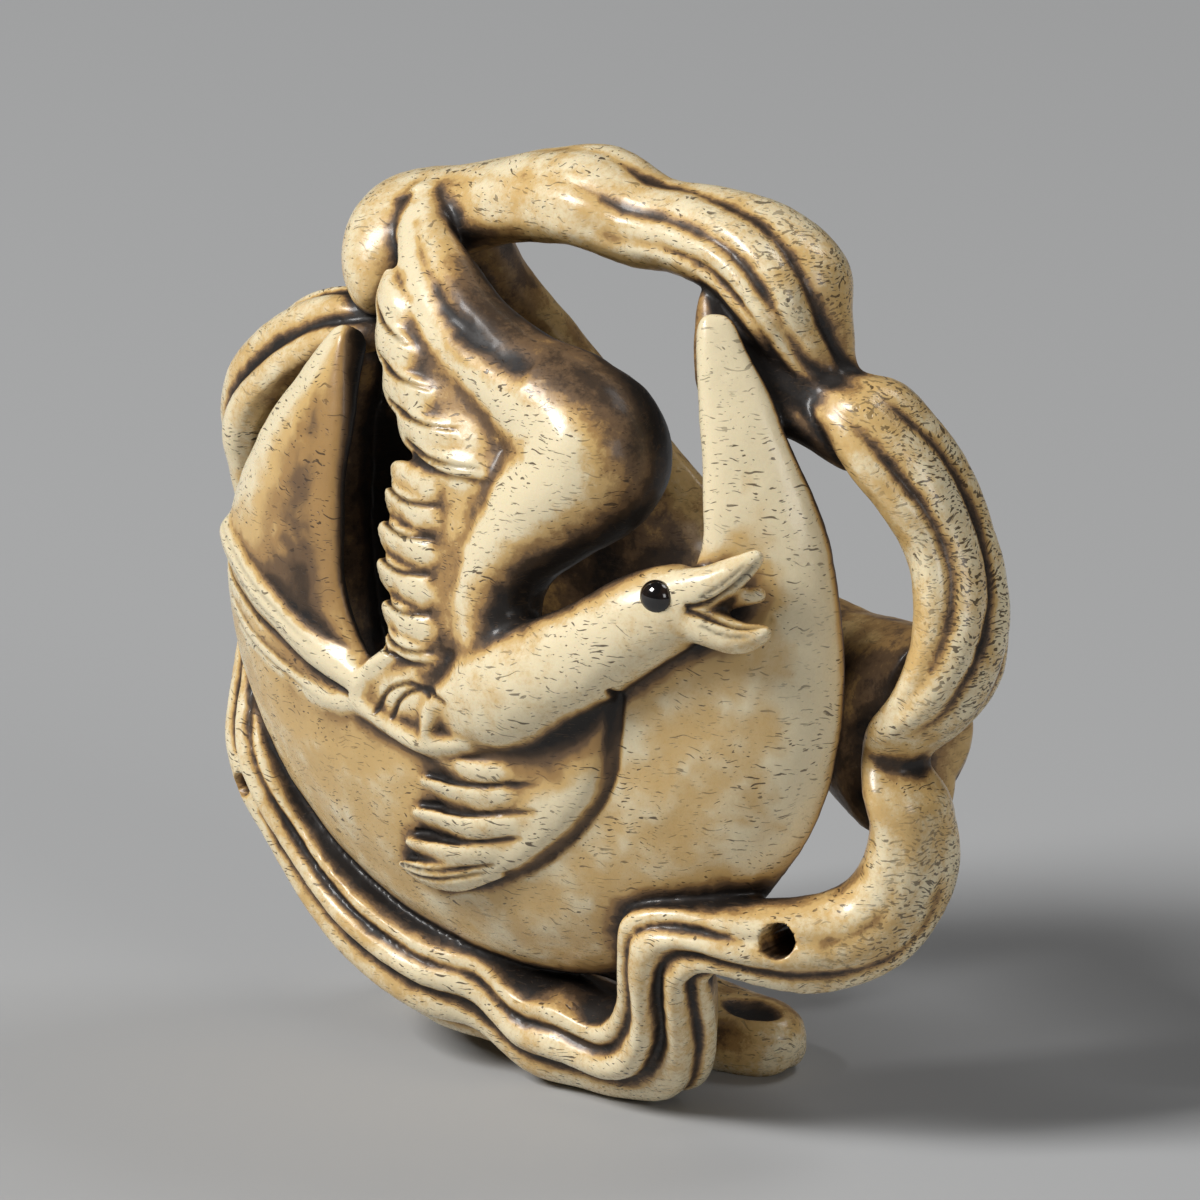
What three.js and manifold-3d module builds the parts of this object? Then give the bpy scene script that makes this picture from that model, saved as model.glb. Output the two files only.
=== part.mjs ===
// A netsuke carved in one piece from stag antler: a crying bird flies across a crescent moon, inside a
// ring of banked cloud. The work is pierced and hollow, so bands of cloud close only part of its back.
// Millimetres, +Z up. The origin is the middle of the underside, the front faces -Y, +X is to the right.

import * as THREE from "three";
import { mergeVertices } from "three/addons/utils/BufferGeometryUtils.js";
import Module from "manifold-3d";

// Driving dimensions: the carving fills an upright ellipsoid, the shell, cut from the antler.
const HALF_WIDTH = 22;
const HALF_DEPTH = 11;
const HALF_HEIGHT = 23;

// The crescent moon: a dome in front of the hollow.
const MOON = { x: -1.8, z: 24.5, y: -1.5, radius: 19.3, depth: 9.5, wall: 1.7 };

// Widths that repeat.
const CORD_HOLE_RADIUS = { right: 0.85, left: 0.62 };
const EYE_RADIUS = 0.85;
const EYE_SEAT_GAP = 0.12;
const FEATHER_THICKNESS = 0.75;

const DEGREE = Math.PI / 180;
const UP = new THREE.Vector3(0, 0, 1);

// ---- Base surfaces: each gives a point and its outward normal for two coordinates ----

/** The shell by angles: theta runs anticlockwise from +X, phi from the front pole (0) to the back (180). */
function shellByAngles(theta, phi) {
  const sine = Math.sin(phi * DEGREE);
  const x = sine * Math.cos(theta * DEGREE);
  const y = -Math.cos(phi * DEGREE);
  const z = sine * Math.sin(theta * DEGREE);
  const point = new THREE.Vector3(HALF_WIDTH * x, HALF_DEPTH * y, HALF_HEIGHT * (1 + z));
  const normal = new THREE.Vector3(x / HALF_WIDTH, y / HALF_DEPTH, z / HALF_HEIGHT).normalize();
  return { point, normal };
}

/** A flattened dome by its x and z, on the front (side -1) or the back (side 1) of a centre. */
function dome(centre, halfX, halfY, halfZ, side) {
  return (x, z) => {
    const across = (x - centre.x) / halfX;
    const up = (z - centre.z) / halfZ;
    const reach = Math.min(Math.hypot(across, up), 0.985);
    const out = Math.sqrt(1 - reach * reach);
    const point = new THREE.Vector3(x, centre.y + side * halfY * out, z);
    const normal = new THREE.Vector3(across / halfX, (side * out) / halfY, up / halfZ).normalize();
    return { point, normal };
  };
}

const SHELL_CENTRE = { x: 0, y: 0, z: HALF_HEIGHT };
const shellFront = dome(SHELL_CENTRE, HALF_WIDTH, HALF_DEPTH, HALF_HEIGHT, -1);
const shellBack = dome(SHELL_CENTRE, HALF_WIDTH, HALF_DEPTH, HALF_HEIGHT, 1);
const moonFront = dome(MOON, MOON.radius, MOON.depth, MOON.radius, -1);

// ---- Lofting ----

/** A smooth reading of a list of stations at t from 0 to 1: each number follows a Catmull-Rom curve. */
function along(stations, t) {
  const last = stations.length - 1;
  const place = Math.min(Math.max(t, 0), 1) * last;
  const i = Math.min(Math.floor(place), last - 1);
  const f = place - i;
  const near = (k) => stations[Math.min(Math.max(k, 0), last)];
  return stations[i].map((_, n) => {
    const [a, b, c, d] = [near(i - 1)[n], near(i)[n], near(i + 1)[n], near(i + 2)[n]];
    return b + 0.5 * f * (c - a + f * (2 * a - 5 * b + 4 * c - d + f * (3 * (b - c) + d - a)));
  });
}

/** Where the rows of a loft stand, closer together over the rounded share at each end. */
function rowPlaces(rows, startShare, endShare) {
  const places = [];
  for (const k of [0, 1, 2]) {
    if (startShare > 0) places.push(startShare * (1 - Math.cos(k * 30 * DEGREE)));
  }
  for (let i = 0; i <= rows; i++) places.push(startShare + (i / rows) * (1 - startShare - endShare));
  for (const k of [2, 1, 0]) {
    if (endShare > 0) places.push(1 - endShare * (1 - Math.cos(k * 30 * DEGREE)));
  }
  return places;
}

/** How much of its full size a section has at t, when each end is rounded over a share of the length. */
function endSize(t, startShare, endShare) {
  const round = (d, share) => (d >= share ? 1 : Math.sqrt(Math.max(1 - (1 - d / share) ** 2, 0.06)));
  return Math.min(round(t, startShare), round(1 - t, endShare));
}

/** A closed geometry from rows of points, each row a closed section; a fan closes each end. */
function loft(rows) {
  const sides = rows[0].length;
  const points = rows.flat();
  const middle = (row) => row.reduce((sum, p) => sum.add(p), new THREE.Vector3()).divideScalar(sides);
  const first = points.push(middle(rows[0])) - 1;
  const last = points.push(middle(rows[rows.length - 1])) - 1;
  const faces = [];
  for (let j = 0; j < sides; j++) {
    const next = (j + 1) % sides;
    for (let i = 0; i + 1 < rows.length; i++) {
      const [a, b, c, d] = [i * sides + j, i * sides + next, (i + 1) * sides + j, (i + 1) * sides + next];
      faces.push(a, b, c, b, d, c);
    }
    const end = (rows.length - 1) * sides;
    faces.push(first, next, j, last, end + j, end + next);
  }
  const volume = (k) => points[faces[k]].dot(points[faces[k + 1]].clone().cross(points[faces[k + 2]]));
  let total = 0;
  for (let k = 0; k < faces.length; k += 3) total += volume(k);
  if (total < 0) faces.reverse();
  const geometry = new THREE.BufferGeometry().setFromPoints(points);
  geometry.setIndex(faces);
  return geometry;
}

/**
 * A band of cloud, wing or moon lying on a base surface. Each station holds the two coordinates of one
 * edge, those of the other edge, the height of the outer face over the surface, the thickness, and how
 * far the ridges have drifted across the band.
 */
function band(surface, stations, { rows, samples = 8, under = 3, ridges = 0, relief = 0, ends = [0.05, 0.05] }) {
  const swell = (u) => Math.sqrt(1 - Math.abs(2 * u - 1) ** 2.6);
  const furrow = (u, drift) => relief * (Math.abs(Math.sin(Math.PI * (ridges * u + drift))) ** 0.8 - 0.6);
  const sections = rowPlaces(rows, ...ends).map((t) => {
    const [a1, a2, b1, b2, outer, thickness, drift = 0] = along(stations, t);
    const size = endSize(t, ...ends);
    const at = (u, side) => {
      const across = 0.5 + (u - 0.5) * size;
      const { point, normal } = surface(a1 + (b1 - a1) * across, a2 + (b2 - a2) * across);
      const crown = side > 0 ? furrow(u, drift) * size * swell(u) : 0;
      return point.addScaledVector(normal, outer - thickness / 2 + side * (thickness / 2) * swell(u) * size + crown);
    };
    const row = [];
    for (let j = 0; j <= samples; j++) row.push(at(j / samples, 1));
    for (let j = under - 1; j > 0; j--) row.push(at(j / under, -1));
    return row;
  });
  return loft(sections);
}

/**
 * A rounded limb lying on a base surface. Each station holds the two coordinates of its middle, the
 * height of the middle over the surface, its half width and its half thickness. A roll lifts one side.
 */
function limb(surface, stations, { rows, sides = 8, ends = [0, 0], roll = 0 }) {
  const middle = (t) => {
    const [p, q, height] = along(stations, t);
    const { point, normal } = surface(p, q);
    return { point: point.addScaledVector(normal, height), normal };
  };
  const sections = rowPlaces(rows, ...ends).map((t) => {
    const [, , , width, thickness] = along(stations, t);
    const size = endSize(t, ...ends);
    const { point, normal } = middle(t);
    const ahead = middle(Math.min(t + 0.01, 1)).point.sub(middle(Math.max(t - 0.01, 0)).point).normalize();
    const side = new THREE.Vector3().crossVectors(ahead, normal).normalize();
    const out = new THREE.Vector3().crossVectors(side, ahead).normalize();
    side.applyAxisAngle(ahead, roll * DEGREE);
    out.applyAxisAngle(ahead, roll * DEGREE);
    return Array.from({ length: sides }, (_, j) => {
      const turn = (2 * Math.PI * j) / sides;
      return point.clone()
        .addScaledVector(side, width * size * Math.cos(turn))
        .addScaledVector(out, thickness * size * Math.sin(turn));
    });
  });
  return loft(sections);
}

// ---- The clouds ----

/** The ring, from the knob at the top left, clockwise to the second lobe, down the step, and underneath. */
function cloudRing() {
  const rim = [
    [134, 62, 134, 82, -1.5, 3.0, 0],
    [125, 54, 125, 100, 0.8, 4.2, 0],
    [112, 64, 112, 106, -0.4, 4.0, 0],
    [100, 64, 100, 106, -0.4, 4.2, 0],
    [90, 63, 90, 106, -0.2, 4.3, 0],
    [81, 64, 81, 106, -0.9, 4.3, 0],
    [73, 66, 73, 107, -0.3, 4.3, 0],
    [64, 67, 64, 108, 0.6, 4.6, 0],
    [55, 66, 55, 110, 0.6, 4.8, 0.1],
    [49, 66, 48, 104, -1.0, 3.8, 0.2],
    [44, 66, 43, 100, -1.9, 3.4, 0.1],
    [38, 67, 38, 106, -0.5, 3.6, 0],
    [29, 69, 29, 112, 0.0, 3.4, 0],
    [18, 76, 18, 114, 0.2, 3.3, 0],
    [8, 73, 8, 113, 0.4, 3.4, 0.2],
    [0, 67, 0, 108, 0.0, 3.8, 0.5],
    [-5, 63, -5, 100, -1.1, 3.6, 0.8],
    [-10, 63, -10, 95, -2.4, 3.0, 1],
    [-15, 64, -15, 99, -0.9, 3.8, 1],
    [-22, 69, -24, 104, 0.0, 4.2, 1],
    [-30, 67, -34, 100, 0.3, 4.3, 1],
    [-38, 52, -43, 79, 0.4, 4.2, 1],
    [-47, 42, -49, 57, 0.1, 3.8, 1],
    [-57, 38, -52.5, 54, 0.2, 3.6, 1],
    [-65, 43, -55, 57, 0.2, 3.6, 1],
    [-73, 53, -63, 70, 0.2, 3.8, 1],
    [-79, 57, -73, 88, 0.7, 4.6, 1],
    [-87, 55, -85, 93, 0.5, 5.2, 1],
    [-95, 55, -94, 93, 0.5, 5.2, 1],
    [-103, 52, -103, 87, -0.1, 4.8, 1],
    [-112, 52, -112, 86, 0.7, 4.8, 1],
    [-125, 54, -125, 87, 1.1, 4.5, 1],
    [-140, 58, -140, 88, 1.2, 4.3, 1],
    [-155, 61, -155, 90, 1.5, 4.5, 1],
    [-167, 65, -167, 92, 0.0, 4.2, 1],
    [-180, 72, -180, 92, -1.4, 3.6, 1],
  ];
  return band(shellByAngles, rim, { rows: 72, samples: 11, under: 2, ridges: 4, relief: 0.75, ends: [0.02, 0.02] });
}

/** The ledge of cloud inside the ring's notch, which runs behind the tip of the moon's right horn. */
function notchLedge() {
  const ledge = [
    [66, 65, 66, 78, -1.8, 2.6],
    [60, 54, 60, 78, -1.9, 2.8],
    [54, 49, 54, 77, -2.2, 2.8],
    [47, 52, 47, 77, -2.4, 2.8],
    [39, 61, 39, 79, -2.3, 2.6],
    [31, 70, 31, 84, -2.4, 2.2],
  ];
  return band(shellByAngles, ledge, { rows: 9, samples: 5, under: 2, ridges: 2, relief: 0.4, ends: [0.1, 0.1] });
}

/** A plainer band behind the ring, round the left and the underside, which closes the rim. */
function rearRim() {
  const rim = [
    [146, 86, 146, 113, -0.8, 3.4],
    [165, 88, 165, 118, -0.8, 3.2],
    [185, 86, 185, 120, -1.2, 3.4],
    [205, 84, 205, 120, 0.0, 3.6],
    [230, 84, 230, 120, 0.3, 4.2],
    [255, 84, 255, 120, -0.4, 4.4],
    [280, 84, 280, 112, -0.2, 4.4],
  ];
  return band(shellByAngles, rim, { rows: 14, samples: 5, under: 2, ridges: 2, relief: 0.6 });
}

/** The lobe at the left that climbs behind the moon's horn, and tucks in under the knob. */
function leftLobe() {
  const lobe = [
    [186, 66, 186, 92, -1.6, 3.4],
    [171, 64, 172, 100, -0.1, 3.2],
    [160, 62, 160, 94, 1.2, 3.4],
    [149, 58, 149, 86, 0.6, 3.2],
    [138, 54, 140, 80, -0.6, 3.0],
    [128, 50, 132, 70, -2.0, 3.0],
  ];
  return band(shellByAngles, lobe, { rows: 10, samples: 7, under: 2, ridges: 3, relief: 0.7, ends: [0.1, 0.12] });
}

/** The cloud that crosses the back from the knob down to the right side of the ring. */
function backDiagonal() {
  const cloud = [
    [-9.4, 43.2, -17.0, 38.2, 0.2, 3.8],
    [-9.6, 38.0, -18.6, 33.0, 0.2, 3.8],
    [-6.0, 32.0, -15.2, 23.4, 0.6, 4.0],
    [-1.2, 26.8, -9.0, 17.4, 0.8, 4.2],
    [3.5, 23.8, 2.0, 15.2, 0.8, 5.4],
    [8.6, 23.0, 9.4, 13.8, 0.6, 6.0],
    [14.2, 23.6, 15.2, 12.6, 0.2, 6.2],
    [18.2, 23.8, 17.8, 14.4, -1.0, 4.2],
  ];
  return band(shellBack, cloud, { rows: 16, samples: 7, under: 2, ridges: 3, relief: 0.6, ends: [0.03, 0.03] });
}

/** The curl that rises from the foot up the left of the back. */
function backCurl() {
  const curl = [
    [-13.0, 34.0, -20.0, 30.5, 0.0, 3.4],
    [-14.0, 25.0, -21.4, 24.0, 0.3, 3.0],
    [-12.2, 16.4, -20.4, 14.0, 0.3, 3.2],
    [-7.0, 11.4, -15.0, 5.8, 0.3, 3.8],
    [1.0, 10.4, -4.5, 2.8, 0.1, 4.2],
  ];
  return band(shellBack, curl, { rows: 10, samples: 5, under: 2, ridges: 2, relief: 0.6, ends: [0.06, 0.1] });
}

/** The tongue of cloud under the back, which makes the rear foot. Its coordinates are x and y. */
function foot() {
  const underside = (x, y) => ({ point: new THREE.Vector3(x, y, 0), normal: UP.clone().negate() });
  const tongue = [
    [-16.5, 2.6, -15.5, 7.4, -3.0, 3.8],
    [-12.6, 1.0, -12.0, 7.8, 0.1, 4.2],
    [-6.0, 0.7, -5.6, 8.2, 0.3, 4.4],
    [-1.4, 1.2, -1.2, 8.4, 0.3, 4.2],
    [3.4, 2.5, 3.5, 8.0, 0.3, 3.6],
    [8.0, 3.1, 7.6, 7.0, 0.2, 3.6],
  ];
  return band(underside, tongue, { rows: 8, samples: 5, under: 2, ridges: 2, relief: 0.5, ends: [0.06, 0.14] });
}

// ---- The moon ----

/** The crescent, from the tip of the left horn round to the tip of the right one. */
function moon() {
  const crescent = [
    [-9.9, 37.0, -10.6, 37.4],
    [-9.2, 33.4, -13.9, 33.8],
    [-9.0, 29.4, -17.4, 29.4],
    [-8.4, 24.8, -20.4, 23.4],
    [-6.4, 21.6, -19.4, 15.4],
    [-2.6, 20.6, -13.6, 8.2],
    [1.8, 21.0, -3.6, 4.9],
    [6.2, 22.8, 7.0, 7.2],
    [9.8, 25.8, 14.0, 13.8],
    [11.3, 29.6, 16.9, 21.4],
    [10.9, 33.4, 16.4, 29.4],
    [9.8, 37.0, 13.2, 35.6, 0.5],
    [8.7, 39.6, 9.7, 39.5, 1.3],
  ].map(([innerX, innerZ, outerX, outerZ, lift = 0]) => [innerX, innerZ, outerX, outerZ, lift, MOON.wall]);
  return band(moonFront, crescent, { rows: 28, samples: 6, under: 3, ends: [0.02, 0.02] });
}

// ---- The bird ----

/** The body from the rump to the head. */
function body() {
  const trunk = [
    [-1.8, 20.6, -1.0, 1.4, 1.2],
    [0.8, 21.4, -0.5, 2.4, 1.8],
    [3.0, 22.5, -0.3, 2.7, 2.1],
    [5.4, 23.9, -0.3, 2.5, 2.0],
    [7.4, 25.2, -0.3, 2.3, 1.9],
    [9.6, 26.7, -0.3, 2.2, 1.9],
    [11.4, 27.6, -0.4, 1.9, 1.7],
    [12.7, 27.9, -0.5, 1.1, 1.1],
  ];
  return limb(shellFront, trunk, { rows: 10, sides: 10, ends: [0.07, 0.08] });
}

/** The open beak and the tongue in it. */
function beak() {
  const upper = [
    [11.6, 28.1, 0.3, 1.2, 1.0],
    [12.8, 28.7, 0.5, 0.8, 0.9],
    [13.8, 29.4, 0.4, 0.6, 0.8],
    [14.8, 30.4, 0.1, 0.3, 0.6],
  ];
  const lower = [
    [11.8, 27.3, 0.2, 1.1, 0.9],
    [13.0, 26.8, 0.4, 0.8, 0.9],
    [14.3, 26.5, 0.3, 0.65, 0.8],
    [15.5, 26.8, 0.1, 0.3, 0.6],
  ];
  const tongue = [
    [12.6, 27.6, -0.3, 0.4, 0.5],
    [14.0, 28.1, -0.3, 0.5, 0.5],
    [15.1, 28.4, -0.2, 0.5, 0.5],
  ];
  const ends = [0, 0.12];
  return [
    limb(shellFront, upper, { rows: 4, sides: 6, ends }),
    limb(shellFront, lower, { rows: 4, sides: 6, ends }),
    limb(shellFront, tongue, { rows: 2, sides: 6, ends: [0, 0.3] }),
  ];
}

/** The two strips of the tail, the belly edge, and the curl and crest of the rump over their bed. */
function tailAndRump() {
  const upperStrip = [
    [-18.8, 25.6, -0.4, 1.0, 1.1],
    [-15.3, 24.1, -0.3, 1.1, 1.1],
    [-12.5, 23.0, -0.3, 1.1, 1.1],
    [-9.6, 21.8, -0.4, 1.1, 1.1],
    [-6.6, 20.8, -0.6, 0.8, 1.0],
  ];
  const lowerStrip = [
    [-18.6, 22.4, -0.9, 1.0, 1.0],
    [-16.1, 21.3, -0.8, 1.1, 1.1],
    [-12.7, 20.3, -0.8, 1.1, 1.1],
    [-9.4, 19.6, -0.8, 1.0, 1.1],
    [-6.8, 19.7, -0.8, 0.7, 1.0],
  ];
  const bellyEdge = [
    [-7.6, 20.1, -0.5, 0.6, 0.9],
    [-4.6, 19.2, -0.4, 0.7, 0.9],
    [-2.0, 18.9, -0.3, 0.7, 1.0],
    [1.4, 19.8, -0.4, 0.7, 1.1],
  ];
  const curl = [
    [-2.0, 19.2, 0.0, 0.45, 0.8],
    [-1.4, 20.8, 0.1, 0.5, 0.9],
    [-0.2, 22.0, 0.2, 0.5, 0.9],
    [1.6, 22.2, 0.5, 0.45, 0.8],
  ];
  const crest = [
    [-6.9, 20.3, -0.3, 0.5, 0.8],
    [-5.8, 21.8, -0.3, 0.5, 0.8],
    [-4.2, 22.9, -0.3, 0.4, 0.7],
  ];
  const bed = [
    [-6.6, 20.9, -1.7, 1.3, 1.2],
    [-3.0, 21.0, -1.7, 2.0, 1.3],
    [0.6, 21.6, -1.7, 2.0, 1.3],
  ];
  const small = { rows: 4, sides: 5, ends: [0.1, 0.1] };
  return [
    limb(shellFront, upperStrip, { rows: 4, sides: 6, ends: [0.06, 0.05] }),
    limb(shellFront, lowerStrip, { rows: 4, sides: 6, ends: [0.06, 0.05] }),
    limb(shellFront, bellyEdge, small),
    limb(shellFront, curl, small),
    limb(shellFront, crest, small),
    limb(shellFront, bed, { rows: 3, sides: 6, ends: [0.1, 0.1] }),
  ];
}

/** A row of feathers laid like shingles: tips and roots run along two lists of x and z. */
function feathers(tips, roots, count, halfWidth, height) {
  const sag = 0.3;
  return Array.from({ length: count }, (_, i) => {
    const t = i / (count - 1);
    const [tipX, tipZ] = along(tips, t);
    const [rootX, rootZ] = along(roots, t);
    const vane = [
      [rootX, rootZ, height, halfWidth * 0.8, FEATHER_THICKNESS],
      [(tipX + rootX) / 2, (tipZ + rootZ) / 2 - sag, height, halfWidth, FEATHER_THICKNESS],
      [tipX, tipZ, height - 0.3, halfWidth * 0.9, FEATHER_THICKNESS * 0.9],
    ];
    return limb(shellFront, vane, { rows: 2, sides: 6, ends: [0, 0.3], roll: 26 });
  });
}

/** The raised wing: a thick arm over the wrist to the tip, a vane, a bed for the roots, and feathers. */
function raisedWing() {
  const arm = [
    [1.6, 23.4, -1.0, 2.2, 1.8],
    [0.9, 26.0, -1.4, 2.0, 2.2],
    [1.5, 28.4, -1.6, 2.2, 2.6],
    [3.2, 31.0, -1.9, 3.0, 3.1],
    [5.0, 33.6, -2.3, 3.7, 3.7],
    [3.2, 35.4, -2.2, 3.2, 3.3],
    [0.0, 36.9, -1.8, 2.4, 2.7],
    [-3.0, 38.4, -1.5, 2.1, 2.3],
    [-5.6, 40.2, -1.2, 1.8, 1.9],
    [-8.2, 42.0, -1.0, 1.3, 1.4],
    [-10.0, 43.8, -0.8, 0.6, 0.8],
  ];
  const vane = [
    [1.0, 23.4, -4.2, 23.2, -0.5, 1.6],
    [0.6, 27.6, -5.0, 27.6, -0.5, 1.6],
    [1.2, 31.4, -4.6, 31.6, -0.5, 1.6],
    [0.8, 34.8, -5.4, 34.8, -0.5, 1.6],
    [-3.0, 38.0, -7.0, 37.6, -0.6, 1.6],
    [-6.6, 41.0, -8.4, 40.4, -0.6, 1.4],
  ];
  const rootBed = [
    [-0.3, 23.8, -1.0, 1.3, 1.1],
    [-0.5, 27.5, -1.0, 1.3, 1.1],
    [-0.1, 30.8, -1.0, 1.5, 1.2],
    [-0.6, 33.2, -1.0, 1.5, 1.2],
    [-2.8, 35.8, -1.0, 1.3, 1.1],
    [-5.2, 38.2, -1.0, 1.0, 1.0],
  ];
  const secondaryTips = [[-5.8, 31.2], [-6.2, 27.4], [-5.4, 23.1]];
  const secondaryRoots = [[1.3, 30.8], [0.8, 27.0], [1.0, 22.8]];
  const primaryTips = [[-8.9, 39.6], [-8.0, 36.8], [-6.0, 34.2], [-4.2, 32.4]];
  const primaryRoots = [[-4.6, 37.2], [-2.0, 35.4], [0.6, 33.6], [2.6, 31.8]];
  return [
    limb(shellFront, arm, { rows: 16, sides: 10, ends: [0, 0.06] }),
    limb(shellFront, rootBed, { rows: 7, sides: 7, ends: [0, 0.06] }),
    band(shellFront, vane, { rows: 8, samples: 3, under: 2, ends: [0.04, 0.04] }),
    ...feathers(secondaryTips, secondaryRoots, 6, 1.2, -0.35),
    ...feathers(primaryTips, primaryRoots, 5, 1.3, -0.15),
  ];
}

/** The far wing, which shows below the body as low relief on the moon. */
function farWing() {
  const vane = [
    [8.0, 23.6, -0.6, 20.5, 0.1, 1.6],
    [7.7, 20.8, -1.4, 18.2, 0.1, 1.6],
    [7.0, 18.0, -2.2, 16.2, 0.0, 1.6],
    [4.8, 15.2, -3.2, 14.0, -0.1, 1.6],
    [1.4, 12.7, -4.2, 12.4, -0.2, 1.5],
    [-4.4, 10.4, -5.6, 11.0, -0.4, 1.2],
  ];
  const tips = [[-2.8, 17.6], [-4.2, 14.4], [-5.8, 11.3]];
  const roots = [[3.2, 17.8], [2.6, 15.0], [-0.6, 12.2]];
  return [
    band(shellFront, vane, { rows: 8, samples: 4, under: 2, ends: [0.03, 0.06] }),
    ...feathers(tips, roots, 5, 0.95, -0.4),
  ];
}

// ---- Cutting tools ----

/** A cylinder with its middle at a point on the shell, lying along an axis, for a cord hole. */
function drill(theta, phi, axis, radius) {
  const hole = new THREE.CylinderGeometry(radius, radius, 9, 14);
  hole.applyQuaternion(new THREE.Quaternion().setFromUnitVectors(new THREE.Vector3(0, 1, 0), axis.normalize()));
  const { point } = shellByAngles(theta, phi);
  return hole.translate(point.x, point.y, point.z);
}

/** Everything below the surface that the netsuke stands on. */
function ground() {
  const size = 4 * HALF_WIDTH;
  return new THREE.BoxGeometry(size, size, size).translate(0, 0, -size / 2);
}

/** The eye's place, and the round black eye or its seat. */
function eyeBall(radius) {
  const { point, normal } = shellFront(10.6, 28.0);
  const place = point.addScaledVector(normal, 1.05);
  const ball = new THREE.SphereGeometry(radius, 14, 10).scale(1, 0.8, 1);
  return ball.translate(place.x, place.y, place.z);
}

// ---- Joining ----

const wasm = await Module();
wasm.setup();

/** A geometry as a solid: only its positions are kept, with the shared ones merged. */
function solid(geometry) {
  const bare = geometry.clone();
  for (const name of Object.keys(bare.attributes)) if (name !== "position") bare.deleteAttribute(name);
  const merged = mergeVertices(bare, 1e-4);
  const vertProperties = merged.attributes.position.array;
  const triVerts = new Uint32Array(merged.index.array);
  return new wasm.Manifold(new wasm.Mesh({ numProp: 3, vertProperties, triVerts }));
}

/** A solid back as a geometry. */
function geometryOf(body) {
  const mesh = body.getMesh();
  const geometry = new THREE.BufferGeometry();
  geometry.setAttribute("position", new THREE.BufferAttribute(new Float32Array(mesh.vertProperties), 3));
  geometry.setIndex(new THREE.BufferAttribute(new Uint32Array(mesh.triVerts), 1));
  const flat = geometry.toNonIndexed();
  flat.computeVertexNormals();
  return flat;
}

function carvedAntler() {
  const forms = [
    cloudRing(), notchLedge(), rearRim(), leftLobe(), backDiagonal(), backCurl(), foot(), moon(), body(),
    ...beak(), ...tailAndRump(), ...raisedWing(), ...farWing(),
  ];
  const cuts = [
    drill(-38, 57, new THREE.Vector3(0.25, -1, 0.1), CORD_HOLE_RADIUS.right),
    drill(-150, 70, new THREE.Vector3(-0.6, -1, 0), CORD_HOLE_RADIUS.left),
    ground(),
    eyeBall(EYE_RADIUS + EYE_SEAT_GAP),
  ];
  const joined = forms.map(solid).reduce((whole, form) => whole.add(form));
  return geometryOf(cuts.map(solid).reduce((whole, cut) => whole.subtract(cut), joined));
}

const antler = new THREE.MeshStandardMaterial({ color: 0xcdb285, roughness: 0.38, metalness: 0 });
const blackInlay = new THREE.MeshStandardMaterial({ color: 0x0b0908, roughness: 0.15, metalness: 0 });

const carving = new THREE.Mesh(carvedAntler(), antler);
carving.name = "carved_antler";
const eye = new THREE.Mesh(eyeBall(EYE_RADIUS), blackInlay);
eye.name = "eye_inlay";

const group = new THREE.Group();
group.add(carving, eye);

export default group;
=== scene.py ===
"""Dresses a netsuke carved in one piece from stag antler, with an inlaid eye.

A crying bird flies across a crescent moon inside a ring of banked cloud. The carving is lofted again from
the same forms as the frame's solids, at the fineness of the carver's knife, and joined into one skin. Its
hollows then take a dark stain that also holds painted shade, shaded sides and inner walls are darkened
with painted shade, its heights are rubbed pale with some painted highlight, and the eye is set in its seat.
"""

import logging
import math
from abc import ABC, abstractmethod
from dataclasses import dataclass, field
from enum import Enum

import bmesh
import bpy
import numpy as np
from mathutils import Matrix, Vector, noise
from mathutils.bvhtree import BVHTree
from mathutils.kdtree import KDTree


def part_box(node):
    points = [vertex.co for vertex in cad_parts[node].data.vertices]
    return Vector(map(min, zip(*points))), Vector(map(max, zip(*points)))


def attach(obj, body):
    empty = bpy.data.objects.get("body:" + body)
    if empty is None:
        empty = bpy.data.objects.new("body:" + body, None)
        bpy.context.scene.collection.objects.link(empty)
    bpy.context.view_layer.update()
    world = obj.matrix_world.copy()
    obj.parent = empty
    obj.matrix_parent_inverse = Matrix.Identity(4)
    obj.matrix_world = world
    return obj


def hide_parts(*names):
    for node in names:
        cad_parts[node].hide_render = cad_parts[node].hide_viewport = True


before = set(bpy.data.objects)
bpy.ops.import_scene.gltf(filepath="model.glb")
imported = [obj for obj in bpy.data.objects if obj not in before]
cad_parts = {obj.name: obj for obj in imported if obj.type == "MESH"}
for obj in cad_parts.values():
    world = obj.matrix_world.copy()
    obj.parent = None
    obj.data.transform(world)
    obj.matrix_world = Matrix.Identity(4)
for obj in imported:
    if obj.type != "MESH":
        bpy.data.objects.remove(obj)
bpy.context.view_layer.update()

LOG = logging.getLogger("netsuke")

MM = 0.001
HALF_WIDTH = 22.0
HALF_DEPTH = 11.0
HALF_HEIGHT = 23.0
MIDDLE = (0, 0, HALF_HEIGHT)
HALF_SIZE = (HALF_WIDTH, HALF_DEPTH, HALF_HEIGHT)


class Zone(Enum):
    """The parts of the carving that are finished in their own way."""

    CLOUD = 0
    BACK = 1
    MOON = 2
    BIRD = 3
    WING = 4
    FEATHER = 5


# ---- Base surfaces, in millimetres ----


class Surface(ABC):
    """A base surface that bands and limbs lie on."""

    @abstractmethod
    def at(self, p: np.ndarray, q: np.ndarray) -> tuple[np.ndarray, np.ndarray]:
        """Points and unit normals at two coordinates.

        Args:
            p: First coordinate of each point.
            q: Second coordinate of each point.

        Returns:
            The points and their outward unit normals, one row each.
        """


def unit(vectors: np.ndarray) -> np.ndarray:
    """Each row of an array of vectors at length one."""
    return vectors / np.maximum(np.linalg.norm(vectors, axis=1, keepdims=True), 1e-12)


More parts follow.
